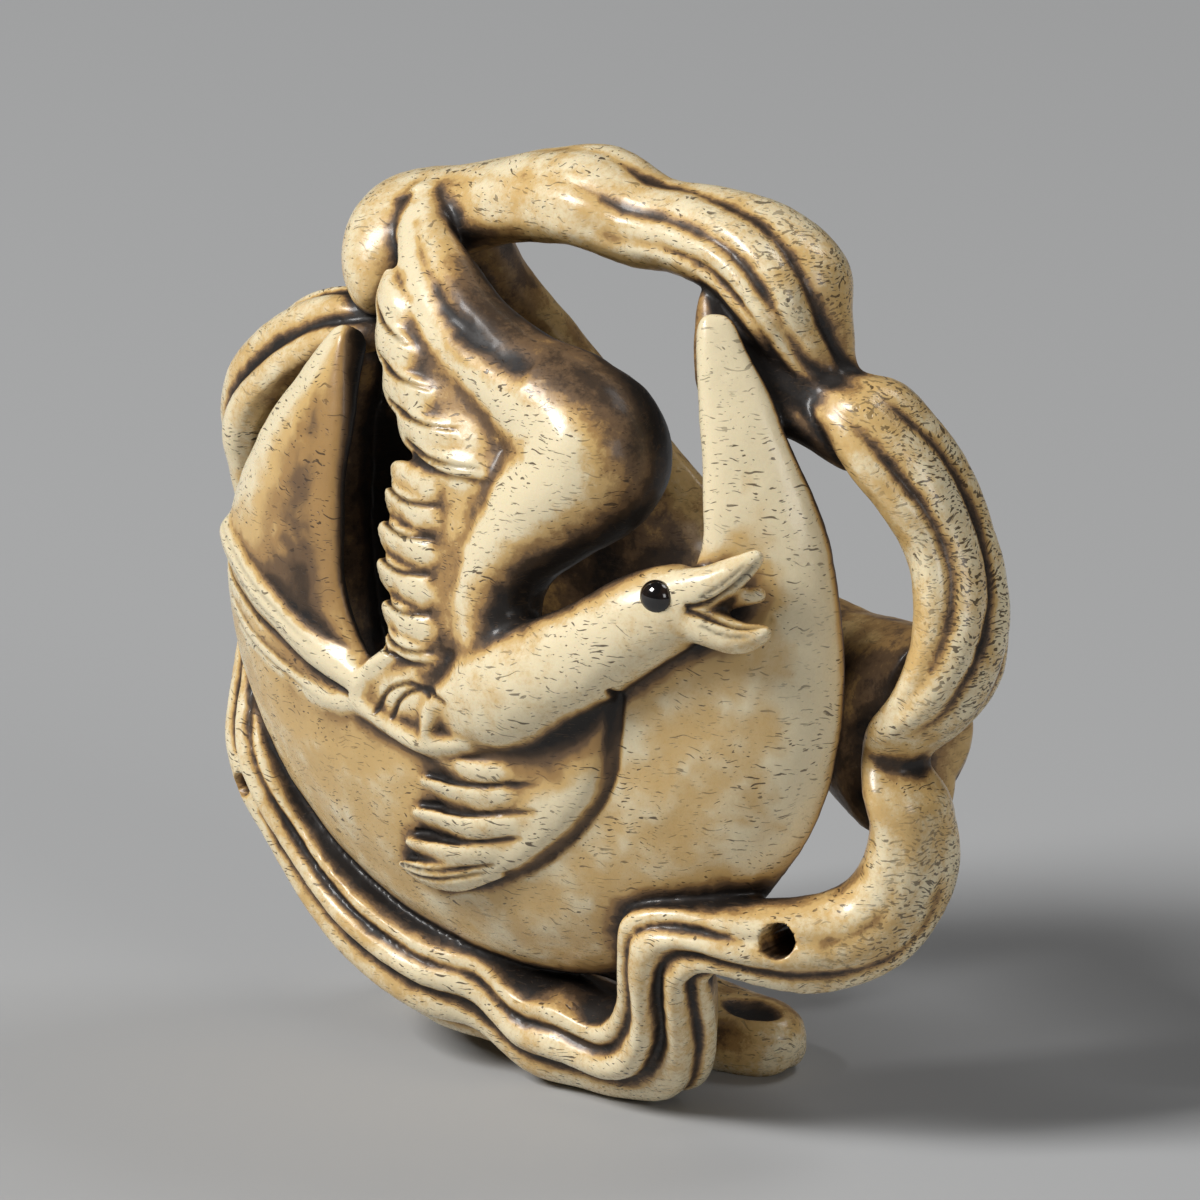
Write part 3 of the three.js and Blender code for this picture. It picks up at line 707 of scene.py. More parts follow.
@dataclass
class Bird:
    """The bird: body, beak, tail, the raised wing and the far wing.

    The shaded edge is the line, x and z, that the raised wing's dark side starts from.
    """

    shaded_edge: tuple[tuple[float, float], ...] = (
        (-9.0, 43.0),
        (-5.6, 41.0),
        (-4.0, 38.6),
        (-2.0, 36.9),
        (0.6, 36.3),
        (3.6, 35.7),
        (6.0, 34.9),
        (6.9, 33.0),
        (5.0, 30.9),
        (2.2, 29.1),
        (0.6, 27.4),
        (0.3, 25.8),
        (1.6, 24.4),
    )
    feather_half_thickness: float = 0.75
    feather_sag: float = 0.3

    def body(self) -> Form:
        """The body from the rump to the head."""
        trunk = [
            [-1.8, 20.6, -1.0, 1.4, 1.2],
            [0.8, 21.4, -0.5, 2.4, 1.8],
            [3.0, 22.5, -0.3, 2.7, 2.1],
            [5.4, 23.9, -0.3, 2.5, 2.0],
            [7.4, 25.2, -0.3, 2.3, 1.9],
            [9.6, 26.7, -0.3, 2.2, 1.9],
            [11.4, 27.6, -0.4, 1.9, 1.7],
            [12.7, 27.9, -0.5, 1.1, 1.1],
        ]
        return Limb(FRONT, trunk, Zone.BIRD, rows=120, around=72, ends=(0.07, 0.08))

    def beak(self) -> list[Form]:
        """The open beak and the tongue in it."""
        upper = [
            [11.4, 28.1, 0.3, 1.25, 1.0],
            [12.7, 28.7, 0.55, 0.95, 0.95],
            [13.8, 29.4, 0.45, 0.75, 0.85],
            [14.8, 30.3, 0.1, 0.35, 0.6],
        ]
        lower = [
            [11.7, 27.3, 0.2, 1.15, 0.95],
            [13.0, 26.7, 0.4, 0.9, 0.95],
            [14.3, 26.4, 0.3, 0.75, 0.85],
            [15.5, 26.8, 0.1, 0.35, 0.6],
        ]
        tongue = [
            [12.6, 27.6, -0.3, 0.4, 0.5],
            [14.0, 28.1, -0.3, 0.5, 0.5],
            [15.1, 28.4, -0.2, 0.5, 0.5],
        ]
        size = {"rows": 36, "around": 32}
        return [
            Limb(FRONT, upper, Zone.BIRD, ends=(0, 0.12), **size),
            Limb(FRONT, lower, Zone.BIRD, ends=(0, 0.12), **size),
            Limb(FRONT, tongue, Zone.BIRD, ends=(0, 0.3), **size),
        ]

    def tail(self) -> list[Form]:
        """The two strips of the tail, the belly edge, and the curl and crest of the rump over their bed."""
        upper_strip = [
            [-18.8, 25.6, -0.4, 1.0, 1.1],
            [-15.3, 24.1, -0.3, 1.1, 1.1],
            [-12.5, 23.0, -0.3, 1.1, 1.1],
            [-9.6, 21.8, -0.4, 1.1, 1.1],
            [-6.6, 20.8, -0.6, 0.8, 1.0],
        ]
        lower_strip = [
            [-18.6, 22.4, -0.9, 1.0, 1.0],
            [-16.1, 21.3, -0.8, 1.1, 1.1],
            [-12.7, 20.3, -0.8, 1.1, 1.1],
            [-9.4, 19.6, -0.8, 1.0, 1.1],
            [-6.8, 19.7, -0.8, 0.7, 1.0],
        ]
        belly_edge = [
            [-7.6, 20.1, -0.5, 0.6, 0.9],
            [-4.6, 19.2, -0.4, 0.7, 0.9],
            [-2.0, 18.9, -0.3, 0.7, 1.0],
            [1.4, 19.8, -0.4, 0.7, 1.1],
        ]
        curl = [
            [-2.0, 19.2, 0.0, 0.45, 0.8],
            [-1.4, 20.8, 0.1, 0.5, 0.9],
            [-0.2, 22.0, 0.2, 0.5, 0.9],
            [1.6, 22.2, 0.5, 0.45, 0.8],
        ]
        crest = [
            [-6.9, 20.3, -0.3, 0.5, 0.8],
            [-5.8, 21.8, -0.3, 0.5, 0.8],
            [-4.2, 22.9, -0.3, 0.4, 0.7],
        ]
        bed = [
            [-6.6, 20.9, -1.1, 1.3, 1.2],
            [-3.0, 21.0, -0.9, 2.0, 1.4],
            [0.6, 21.6, -0.9, 2.0, 1.4],
        ]
        long = {"rows": 90, "around": 36, "ends": (0.06, 0.05)}
        short = {"rows": 50, "around": 28, "ends": (0.1, 0.1)}
        return [
            Limb(FRONT, upper_strip, Zone.BIRD, **long),
            Limb(FRONT, lower_strip, Zone.BIRD, **long),
            Limb(FRONT, belly_edge, Zone.BIRD, **short),
            Limb(FRONT, curl, Zone.BIRD, **short),
            Limb(FRONT, crest, Zone.BIRD, **short),
            Limb(FRONT, bed, Zone.BIRD, **short),
        ]

    def feathers(self, row: FeatherRow, half_width: float, height: float, flat: float = 1.0) -> list[Form]:
        """A row of feathers laid like shingles.

        Args:
            row: Where the feathers lie.
            half_width: Half of a feather's width.
            height: How high the vanes lie over the shell.
            flat: The feathers' thickness as a share of the usual one.

        Returns:
            One form for each feather.
        """
        thick = self.feather_half_thickness
        fineness = {"rows": 60, "around": 40, "ends": (0, 0.3)}
        made = []
        for (tip_x, tip_z), (root_x, root_z) in row.ends(np.linspace(0, 1, row.count)):
            middle_z = (tip_z + root_z) / 2 - self.feather_sag
            vane = [
                [root_x, root_z, height - 1.1 * flat, half_width * 0.8, thick * flat],
                [(tip_x + root_x) / 2, middle_z, height, half_width, thick * flat],
                [tip_x, tip_z, height - 0.3, half_width * 0.9, thick * 0.9 * flat],
            ]
            made.append(Limb(FRONT, vane, Zone.FEATHER, roll=26, dish=0.3, **fineness))
        return made

    def raised_wing(self) -> list[Form]:
        """A thick arm over the wrist to the tip, a vane, a bed for the roots, and feathers."""
        arm = [
            [1.6, 23.4, -1.0, 2.2, 1.8],
            [0.9, 26.0, -1.4, 2.0, 2.2],
            [1.5, 28.4, -1.6, 2.2, 2.6],
            [3.2, 31.0, -1.9, 3.0, 3.1],
            [5.0, 33.6, -2.3, 3.7, 3.7],
            [3.2, 35.4, -2.2, 3.2, 3.3],
            [0.0, 36.9, -1.8, 2.4, 2.7],
            [-3.0, 38.4, -1.5, 2.1, 2.3],
            [-5.6, 40.2, -1.2, 1.8, 1.9],
            [-8.2, 42.0, -1.0, 1.3, 1.4],
            [-10.0, 43.8, -0.8, 0.6, 0.8],
        ]
        vane = [
            [1.0, 23.4, -4.2, 23.2, -0.5, 1.6],
            [0.6, 27.6, -5.0, 27.6, -0.5, 1.6],
            [1.2, 31.4, -4.6, 31.6, -0.5, 1.6],
            [0.8, 34.8, -5.4, 34.8, -0.5, 1.6],
            [-3.0, 38.0, -7.0, 37.6, -0.6, 1.6],
            [-6.6, 41.0, -8.4, 40.4, -0.6, 1.4],
        ]
        root_bed = [
            [-0.4, 23.8, -0.9, 1.7, 1.2],
            [-0.7, 27.5, -0.9, 2.0, 1.2],
            [-0.4, 30.8, -0.9, 2.2, 1.3],
            [-0.9, 33.2, -0.9, 2.1, 1.3],
            [-3.0, 35.8, -0.9, 1.7, 1.2],
            [-5.4, 38.2, -0.9, 1.2, 1.1],
            [-7.4, 40.4, -0.9, 0.8, 0.9],
        ]
        return [
            Limb(FRONT, arm, Zone.WING, rows=200, around=110, ends=(0, 0.06)),
            Limb(FRONT, root_bed, Zone.WING, rows=100, around=40, ends=(0, 0.06)),
            Band(FRONT, vane, Zone.WING, rows=140, around=60, ends=(0.04, 0.04)),
            *self.feathers(SECONDARIES, 1.2, -0.35),
            *self.feathers(PRIMARIES, 1.3, -0.15),
        ]

    def far_wing(self) -> list[Form]:
        """The far wing, which shows below the body as low relief on the moon."""
        vane = [
            [8.0, 23.6, -0.6, 20.5, 0.1, 1.6],
            [7.7, 20.8, -1.4, 18.2, 0.1, 1.6],
            [7.0, 18.0, -2.2, 16.2, 0.0, 1.6],
            [4.8, 15.2, -3.2, 14.0, -0.1, 1.6],
            [1.4, 12.7, -4.2, 12.4, -0.2, 1.5],
            [-4.4, 10.4, -5.6, 11.0, -0.4, 1.2],
        ]
        return [
            Band(FRONT, vane, Zone.MOON, rows=120, around=90, ends=(0.03, 0.06), squareness=5),
            *self.feathers(FAR_FEATHERS, 0.95, -0.15, flat=0.6),
        ]

    def forms(self) -> list[Form]:
        """Every form of the bird."""
        return [self.body(), *self.beak(), *self.tail(), *self.raised_wing(), *self.far_wing()]


@dataclass
class Strokes:
    """The finer cuts that the knife left on the forms, with the width and depth of two kinds."""

    crease: tuple[float, float] = (0.13, 0.2)
    nick: tuple[float, float] = (0.08, 0.09)

    def between_feathers(self, row: FeatherRow, reach: float, sag: float) -> list[Groove]:
        """The crease under each feather of a row, which fades towards the arm.

        Args:
            row: The feathers.
            reach: The share of a feather's length that the crease runs.
            sag: How far the crease hangs below a straight line.

        Returns:
            One groove below each feather.
        """
        width, depth = self.crease
        made = []
        for tip, root in row.ends((np.arange(row.count) + 0.5) / (row.count - 1)):
            start = tip + (root - tip) * 0.02
            end = tip + (root - tip) * reach
            middle = (start + end) / 2 - np.array([0, sag])
            path = [start.tolist(), middle.tolist(), end.tolist()]
            made.append(Groove(FRONT, path, width=width, depth=depth, fade=(0.05, 0.7)))
        return made

    def nicks(self, row: FeatherRow, size: float) -> list[Groove]:
        """Short nicks across the tip of each feather."""
        width, depth = self.nick
        made = []
        for (x, z), _ in row.ends(np.linspace(0, 1, row.count)):
            for step in (-0.5, 0.05, 0.6):
                path = [[x - size, z + step * 0.9], [x + size * 0.7, z + step * 0.5 + 0.05]]
                made.append(Groove(FRONT, path, width=width, depth=depth, ink=0.35, fade=(0.05, 0.8)))
        return made

    def mouth(self) -> list[Groove]:
        """The lines inside the beak and at its corner."""
        upper = [[12.0, 27.7], [13.0, 28.05], [13.9, 28.8], [14.7, 29.8]]
        lower = [[12.0, 27.6], [13.1, 27.25], [14.2, 26.95], [15.2, 27.0]]
        inner = [[12.6, 28.2], [13.5, 28.9], [14.3, 29.8]]
        jaw = [[12.6, 27.0], [13.8, 26.6], [14.8, 26.6]]
        main = {"width": 0.12, "depth": 0.16, "fade": (0.02, 0.25)}
        thin = {"width": 0.08, "depth": 0.08, "ink": 0.7, "fade": (0.1, 0.3)}
        return [
            Groove(FRONT, upper, **main),
            Groove(FRONT, lower, **main),
            Groove(FRONT, inner, **thin),
            Groove(FRONT, jaw, **thin),
        ]

    def tail_lines(self) -> list[Groove]:
        """The lines along the tail and the curls of the rump."""
        between = [[-18.9, 23.9], [-15.8, 22.7], [-12.6, 21.7], [-9.4, 20.7], [-7.2, 20.2]]
        lines = [Groove(FRONT, between, width=0.16, depth=0.22, ink=0.8, fade=(0.02, 0.05))]
        for lift in (0.35, -0.3):
            top = [[-18.4, 25.5 + lift], [-15.2, 24.1 + lift], [-12.4, 23.0 + lift], [-9.4, 21.8 + lift]]
            low = [[-18.0, 22.2 + lift], [-15.6, 21.2 + lift], [-12.4, 20.3 + lift], [-9.2, 19.7 + lift]]
            for path in (top, low):
                lines.append(Groove(FRONT, path, width=0.09, depth=0.07, ink=0.4, fade=(0.3, 0.4)))
        for bend in (0.1, 1.2):
            path = [[-5.6 + bend, 19.6], [-4.6 + bend, 21.0], [-3.0 + bend, 21.7], [-1.4 + bend, 21.4]]
            lines.append(Groove(FRONT, path, width=0.12, depth=0.16, ink=0.8, fade=(0.1, 0.2)))
        return lines

    def wing_hollow(self) -> list[Groove]:
        """The long hollow to the right of the raised wing's crest."""
        path = [[-9.2, 43.0], [-5.0, 40.2], [-2.9, 38.8], [-0.2, 37.8], [2.6, 37.0]]
        return [Groove(FRONT, path, width=0.95, depth=0.5, ink=0.0, fade=(0.1, 0.4))]

    def far_wing_edge(self) -> list[Groove]:
        """The cut that frees the far wing's right edge from the moon."""
        path = [[8.3, 23.4], [8.1, 20.8], [7.4, 17.9], [5.1, 14.9], [1.6, 12.3], [-4.2, 10.0]]
        return [Groove(FRONT, path, width=0.2, depth=0.2, ink=0.3, fade=(0.05, 0.05))]

    def grooves(self) -> list[Groove]:
        """Every stroke."""
        return [
            *self.between_feathers(SECONDARIES, 0.62, 0.35),
            *self.between_feathers(PRIMARIES, 0.8, 0.3),
            *self.between_feathers(FAR_FEATHERS, 0.95, 0.15),
            *self.nicks(SECONDARIES, 0.45),
            *self.mouth(),
            *self.tail_lines(),
            *self.far_wing_edge(),
            *self.wing_hollow(),
        ]


# ---- Finishes ----


Socket = bpy.types.NodeSocket
Value = float | tuple | Socket


@dataclass
class Wiring:
    """Short calls for building a material's nodes."""

    name: str
    material: bpy.types.Material = field(init=False)
    shader: bpy.types.Node = field(init=False)

    def __post_init__(self) -> None:
        """Makes the material with an empty principled shader."""
        self.material = bpy.data.materials.new(self.name)
        self.material.use_nodes = True
        self.shader = self.material.node_tree.nodes["Principled BSDF"]

    def node(self, kind: str, inputs: dict | None = None, **settings) -> bpy.types.Node:
        """Adds a node.

        Args:
            kind: The node's type name without the ShaderNode prefix.
            inputs: Sockets by name or number, each a value or a socket to link.
            **settings: Properties of the node itself.

        Returns:
            The node.
        """
        made = self.material.node_tree.nodes.new("ShaderNode" + kind)
        for key, value in settings.items():
            setattr(made, key, value)
        for key, value in (inputs or {}).items():
            self.join(value, made.inputs[key])
        return made

    def join(self, value: Value, socket: Socket) -> None:
        """Links a socket to another, or sets its value."""
        if isinstance(value, Socket):
            self.material.node_tree.links.new(value, socket)
        else:
            socket.default_value = value

    def math(self, operation: str, first: Value, second: Value = 0.0) -> Socket:
        """The result of arithmetic on one number or two."""
        return self.node("Math", {0: first, 1: second}, operation=operation).outputs[0]

    def ramp(
        self, value: Value, low: float, high: float, to_low: float = 0.0, to_high: float = 1.0
    ) -> Socket:
        """A number eased from one range to another."""
        inputs = {0: value, 1: low, 2: high, 3: to_low, 4: to_high}
        return self.node("MapRange", inputs, interpolation_type="SMOOTHSTEP").outputs[0]

    def noise(self, place: Socket, scale: float, detail: float, roughness: float = 0.5) -> bpy.types.Node:
        """A cloudy pattern over a place."""
        inputs = {"Vector": place, "Scale": scale, "Detail": detail, "Roughness": roughness}
        return self.node("TexNoise", inputs)

    def mix(self, share: Value, first: Value, second: Value) -> Socket:
        """Two colours mixed by a share."""
        made = self.node("Mix", data_type="RGBA", blend_type="MIX")
        for value, index in ((share, 0), (first, 6), (second, 7)):
            self.join(value, made.inputs[index])
        return made.outputs[2]

    def gradient(self, value: Value, stops: list) -> Socket:
        """A colour read from a row of stops, each a place and a colour."""
        made = self.node("ValToRGB", {0: value})
        ramp = made.color_ramp
        ramp.interpolation = "EASE"
        for index, (place, shade) in enumerate(stops):
            if index < 2:
                ramp.elements[index].position = place
                ramp.elements[index].color = shade
            else:
                ramp.elements.new(place).color = shade
        return made.outputs[0]

    def attribute(self, name: str) -> Socket:
        """A number stored on the mesh."""
        return self.node("Attribute", attribute_name=name).outputs["Fac"]


def colour(red: float, green: float, blue: float) -> tuple[float, float, float, float]:
    """A linear colour with full alpha."""
    return (red, green, blue, 1.0)


@dataclass(frozen=True)
class AntlerFinish:
    """Stained and hand-polished stag antler: cream where rubbed, honey between, near black in the cuts, with
    painted shade and light laid into the same tone.
    """

    soot: tuple = colour(0.009, 0.0052, 0.003)
    umber: tuple = colour(0.046, 0.025, 0.011)
    taupe: tuple = colour(0.15, 0.086, 0.04)
    amber: tuple = colour(0.38, 0.22, 0.078)
    honey: tuple = colour(0.66, 0.44, 0.175)
    cream: tuple = colour(0.84, 0.72, 0.475)
    cloudiness: tuple = (0.6, 0.45, 0.26)
    roughness: tuple = (0.6, 0.28)
    dash_sizes: tuple = ((0.8, 0.11, 0.672), (0.38, 0.1, 0.68), (0.3, 0.13, 0.585))
    dash_edge: float = 0.035
    mark_strength: float = 0.86
    mark_depth: float = 0.05
    sockets: tuple = (
        ("Subsurface Weight", 0.05),
        ("Subsurface Radius", (1.0, 0.55, 0.25)),
        ("Subsurface Scale", 0.6 * MM),
        ("Coat Weight", 0.22),
        ("Coat Roughness", 0.19),
        ("Specular IOR Level", 0.4),
    )

    def dashes(
        self, w: Wiring, coords: Socket, length: float, thickness: float, rarity: float
    ) -> Socket:
        """Short hair-like marks that lie across the forms.

        Args:
            w: The material's wiring.
            coords: Place on the object, in metres.
            length: How long the marks are, in millimetres.
            thickness: How thick the pattern that they are cut from is, in millimetres.
            rarity: The level of the pattern over which a mark shows.

        Returns:
            A mask that is 1 in the marks.
        """
        scale = (1 / (length * MM), 1 / (length * MM), 1 / (thickness * MM))
        stretched = w.node("Mapping", {"Vector": coords, "Scale": scale}).outputs[0]
        pattern = w.noise(stretched, 1.0, 1.0, 0.4).outputs[0]
        return w.ramp(pattern, rarity, rarity + self.dash_edge)

    def make(self) -> bpy.types.Material:
        """The material, on object coordinates and the five numbers that the skin's stain and painted shade
        store.

        Tone is the depth of the stain together with painted shade and light, ink the dark left in the
        strokes, and mottle how cloudy the stain is.
        Dashes and speckle are how many of the antler's two kinds of mark show.
        """
        w = Wiring("stained_antler_with_painted_shade")
        coords = w.node("TexCoord").outputs["Object"]
        cloud = w.noise(coords, 260.0, 3.0, 0.6).outputs[0]
        patch = w.noise(coords, 900.0, 3.0, 0.6).outputs[0]
        fine = w.noise(coords, 4200.0, 3.0, 0.7).outputs[0]
        # The base colour holds painted shade and light along with the stain
        base, tone = self.stain_and_shade_colour(w, (cloud, patch, fine))
        marks = self.marks(w, coords, cloud)
        base = w.mix(w.math("MULTIPLY", marks, self.mark_strength), base, self.umber)
        ink = w.math("MULTIPLY", w.attribute("ink"), w.ramp(fine, 0.3, 0.6, 0.6, 1.0))
        w.join(w.mix(ink, base, self.soot), w.shader.inputs["Base Color"])

        unevenness = w.math("MULTIPLY", w.math("SUBTRACT", fine, 0.5), 0.2)
        rough = w.math("ADD", w.ramp(tone, 0.2, 0.75, *self.roughness), unevenness)
        w.join(rough, w.shader.inputs["Roughness"])
        for socket, value in self.sockets:
            w.shader.inputs[socket].default_value = value
        relief = w.math("SUBTRACT", w.math("MULTIPLY", fine, 0.5), marks)
        bump = w.node("Bump", {"Height": relief, "Strength": 0.5, "Distance": self.mark_depth * MM})
        w.join(bump.outputs[0], w.shader.inputs["Normal"])
        return w.material

    def stain_and_shade_colour(self, w: Wiring, grains: tuple) -> tuple[Socket, Socket]:
        """The colour of the stain and of the painted shade and light, and the tone that it is read from,
        made cloudy by three grains.
        """
        tone = w.attribute("tone")
        mottle = w.attribute("mottle")
        for grain, amount in zip(grains, self.cloudiness):
            spread_out = w.math("MULTIPLY", w.math("SUBTRACT", grain, 0.5), amount)
            tone = w.math("ADD", tone, w.math("MULTIPLY", spread_out, mottle))
        stops = [(0.02, self.soot), (0.18, self.umber), (0.34, self.taupe)]
        stops += [(0.48, self.amber), (0.64, self.honey), (0.9, self.cream)]
        return w.gradient(tone, stops), tone

    def marks(self, w: Wiring, coords: Socket, cloud: Socket) -> Socket:
        """A mask of the antler's dark pores: long and short dashes in clusters, and flecks near the rim."""
        bend = w.noise(coords, 450.0, 2.0).outputs["Color"]
        shifted = w.node("VectorMath", {0: bend, 1: (0.5, 0.5, 0.5)}, operation="SUBTRACT").outputs[0]
        pushed = w.node("VectorMath", {0: shifted, 1: (1.6 * MM,) * 3}, operation="MULTIPLY").outputs[0]
        wavy = w.node("VectorMath", {0: coords, 1: pushed}, operation="ADD").outputs[0]
        long, short, flecks = (self.dashes(w, wavy, *size) for size in self.dash_sizes)
        marks = w.math("MULTIPLY", w.math("MAXIMUM", long, short), w.ramp(cloud, 0.35, 0.6, 0.35, 1.0))
        marks = w.math("MULTIPLY", marks, w.attribute("dashes"))
        return w.math("MAXIMUM", marks, w.math("MULTIPLY", flecks, w.attribute("speckle")))


@dataclass(frozen=True)
class InlayFinish:
    """Polished black inlay."""

    black: tuple = colour(0.006, 0.005, 0.005)
    brown: tuple = colour(0.03, 0.018, 0.012)

    def make(self) -> bpy.types.Material:
        """The material: near black with a faint brown cloud, and a high gloss."""
        w = Wiring("black_inlay")
        coords = w.node("TexCoord").outputs["Object"]
        cloud = w.noise(coords, 1500.0, 2.0).outputs[0]
        base = w.mix(w.ramp(cloud, 0.45, 0.8), self.black, self.brown)
        w.join(base, w.shader.inputs["Base Color"])
        w.join(w.ramp(cloud, 0.0, 1.0, 0.08, 0.16), w.shader.inputs["Roughness"])
        w.shader.inputs["Coat Weight"].default_value = 0.6
        w.shader.inputs["Coat Roughness"].default_value = 0.05
        return w.material


@dataclass(frozen=True)
class FloorFinish:
    """A plain pale floor."""

    grey: tuple = colour(0.41, 0.413, 0.415)

    def make(self) -> bpy.types.Material:
        """The material: a matt grey."""
        w = Wiring("floor")
        w.shader.inputs["Base Color"].default_value = self.grey
        w.shader.inputs["Roughness"].default_value = 0.8
        return w.material


# ---- The carving ----


def climb(values: np.ndarray, start: float, length: float) -> np.ndarray:
    """A straight climb from 0 at a start to 1 after a length, which is below zero for a climb downwards."""
    return np.clip((values - start) / length, 0, 1)


@dataclass(frozen=True)
class StainAndShade:
    """How the dark stain and the painted shade and light lie on the carving: a tone from 0, near black, to
    1, cream.

    Lengths are in millimetres. Spots are places of stain, each at two angles on the shell with an amount.
    The other numbers are amounts of tone, except where their names say otherwise.
    """

    ground: float = 0.52
    per_fine_hollow: float = 7.0
    per_broad_hollow: float = 3.4
    most_dark: float = 0.4
    most_pale: float = 0.34
    pale_reach: float = 0.2
    moon_smoothness: float = 0.11
    # Painted shade, with dark patina, where the carving closes in round a point
    enclosed_stain_and_shade: float = 1.3
    open_limit: float = 0.16
    bird: float = 0.01
    moon: float = 0.16
    cloud: float = -0.06
    # The back is darker: painted shade for the hollow behind, with a darker brown of its own
    back: float = -0.3
    inner_wall_stain_and_shade: float = -0.28
    # Painted light and shade on the moon
    left_horn_shade: float = -0.55
    right_horn_light: float = 0.14
    horn_edge_shade: float = -0.4
    moon_back_shade: float = -0.35
    wing_side_shade_and_patina: float = -0.62
    wing_edge_width: float = 1.5
    spots: tuple = ((44, 84, -0.3), (-9, 80, -0.25), (38, 66, -0.2))
    spot_radius: float = 2.6

    def share(self, skin: Skin, zone: np.ndarray, *zones: Zone) -> np.ndarray:
        """How much each point belongs to some zones, softened at their edges."""
        return skin.relaxed(np.isin(zone, [one.value for one in zones]).astype(float), 4)

    def hollows(self, fine: np.ndarray, broad: np.ndarray, moon: np.ndarray) -> np.ndarray:
        """The tone from hollows and heights, evened out on the smooth moon. Dark in hollows is partly the
        stain that the cuts hold and partly painted shade; pale on heights is rubbed wear and partly a
        painted highlight.

        Args:
            fine: How far each point lies below its near surroundings.
            broad: How far it lies below its wider ones.
            moon: How much it belongs to the moon.

        Returns:
            An amount below zero in hollows and above it on heights.
        """
        # Painted shade together with the stain in hollows; painted highlight together with rubbed wear on
        # heights
        depth = self.per_fine_hollow * fine + self.per_broad_hollow * broad
        depth = np.sign(depth) * np.maximum(np.abs(depth) - self.moon_smoothness * moon, 0)
        dark = self.most_dark * np.tanh(depth / self.most_dark)
        pale = self.most_pale * np.tanh(depth / self.pale_reach)
        return -np.where(depth > 0, dark, pale)

    def inner(self, skin: Skin) -> np.ndarray:
        """How much each point lies on an inner wall: turned away from the outside and not to the front."""
        outward = unit(skin.points - np.array(MIDDLE))
        facing = np.sum(skin.normals * outward, axis=1)
        return climb(facing, 0.25, -1 / 1.6) * climb(skin.normals[:, 1], -0.3, 1 / 2.5)

    def moon_light_and_shade(self, skin: Skin, moon: np.ndarray, place: np.ndarray) -> np.ndarray:
        """The moon's painted light and shade: painted shade on the left horn's inner half, a painted lit
        right horn with painted shade at its outer edge, and painted shade where it faces the back.
        """
        zone, t, u = place.T
        # Painted shade on the left horn's inner half, turned from the light
        left = climb(t, 0.42, -1 / 6) * climb(u, 0.62, -1 / 2.2) * (zone == Zone.MOON.value)
        # Painted light on the right horn, painted shade along its outer edge
        right = climb(t, 0.72, 1 / 6) * (self.right_horn_light + self.horn_edge_shade * climb(u, 0.82, 1 / 7))
        # Painted shade where the moon faces the back
        back = climb(skin.normals[:, 1], -0.1, 1 / 2)
        return self.left_horn_shade * skin.relaxed(left, 3) + moon * (right + self.moon_back_shade * back)

    def wing_shade_and_patina(self, skin: Skin, zone: np.ndarray) -> np.ndarray:
        """The raised wing's painted shade, with some patina: dark to the right of its shaded edge, where it
        turns from the light, down to the neck.
        """
        x, _, z = skin.points.T
        over_neck = climb(z - 0.58 * (x - 3), 24.4, 1)
        side = (zone == Zone.WING.value) * (z > 24) + (zone == Zone.BIRD.value) * over_neck
        # Painted shade on the side turned from the light, with some patina
        shaded = np.clip(right_of(Bird.shaded_edge, x, z) / self.wing_edge_width, -0.25, 1) * side
        return self.wing_side_shade_and_patina * skin.relaxed(shaded, 6)

    def in_spots(self, skin: Skin) -> np.ndarray:
        """The tone of the stain spots in the ring's notch and pinch."""
        tone = np.zeros(len(skin.points))
        for theta, phi, amount in self.spots:
            centre = RIM.at(np.array([theta]), np.array([phi]))[0]
            away = np.linalg.norm(skin.points - centre, axis=1)
            tone += amount * np.exp(-((away / self.spot_radius) ** 2))
        return tone

    def lay(self, skin: Skin, fine: dict[str, np.ndarray], blocked: np.ndarray) -> None:
        """Stores what the antler's finish reads: its tone, ink, speckle, dashes and mottle.

        Args:
            skin: The finished skin.
            fine: Measures of the skin before it was thinned, at the finished skin's points.
            blocked: The share of the space round each point that the carving fills.
        """
        zone = fine["place"][:, 0]
        bird = self.share(skin, zone, Zone.BIRD, Zone.WING)
        back = self.share(skin, zone, Zone.BACK)
        moon = self.share(skin, zone, Zone.MOON)
        cloud = self.share(skin, zone, Zone.CLOUD)
        # Hollows: stain and painted shade; heights: rubbed wear and painted highlight
        tone = self.ground + self.hollows(fine["small"], fine["middle"], moon)
        # Painted shade where the carving closes round a point, with the dark patina deep inside
        tone -= self.enclosed_stain_and_shade * np.clip(blocked - self.open_limit, 0, 1)
        # Zone tones; the back's darker tone is partly painted shade for the hollow behind
        tone += self.bird * bird + self.back * back + self.cloud * cloud + self.moon * moon
        # Painted shade on walls turned inward, with their unpolished darker brown
        tone += self.inner_wall_stain_and_shade * self.inner(skin)
        # Painted light and shade on the moon, painted shade with some patina on the wing, then the stain
        # spots
        tone += self.moon_light_and_shade(skin, moon, fine["place"]) + self.wing_shade_and_patina(skin, zone) + self.in_spots(skin)
        x, _, z = skin.points.T
        rim = climb(np.hypot(x / HALF_WIDTH, (z - HALF_HEIGHT) / HALF_HEIGHT), 0.9, 0.1)
        layers = {
            "tone": skin.relaxed(tone, 1),
            "ink": fine["ink"],
            "speckle": cloud * rim * (0.1 + 0.9 * climb(x, 6, 8)),
            "dashes": 1.0 - 0.5 * back,
            "mottle": 1.0 - 0.8 * moon - 0.15 * bird,
        }
        for name, values in layers.items():
            skin.write(name, np.clip(values, 0, 1))


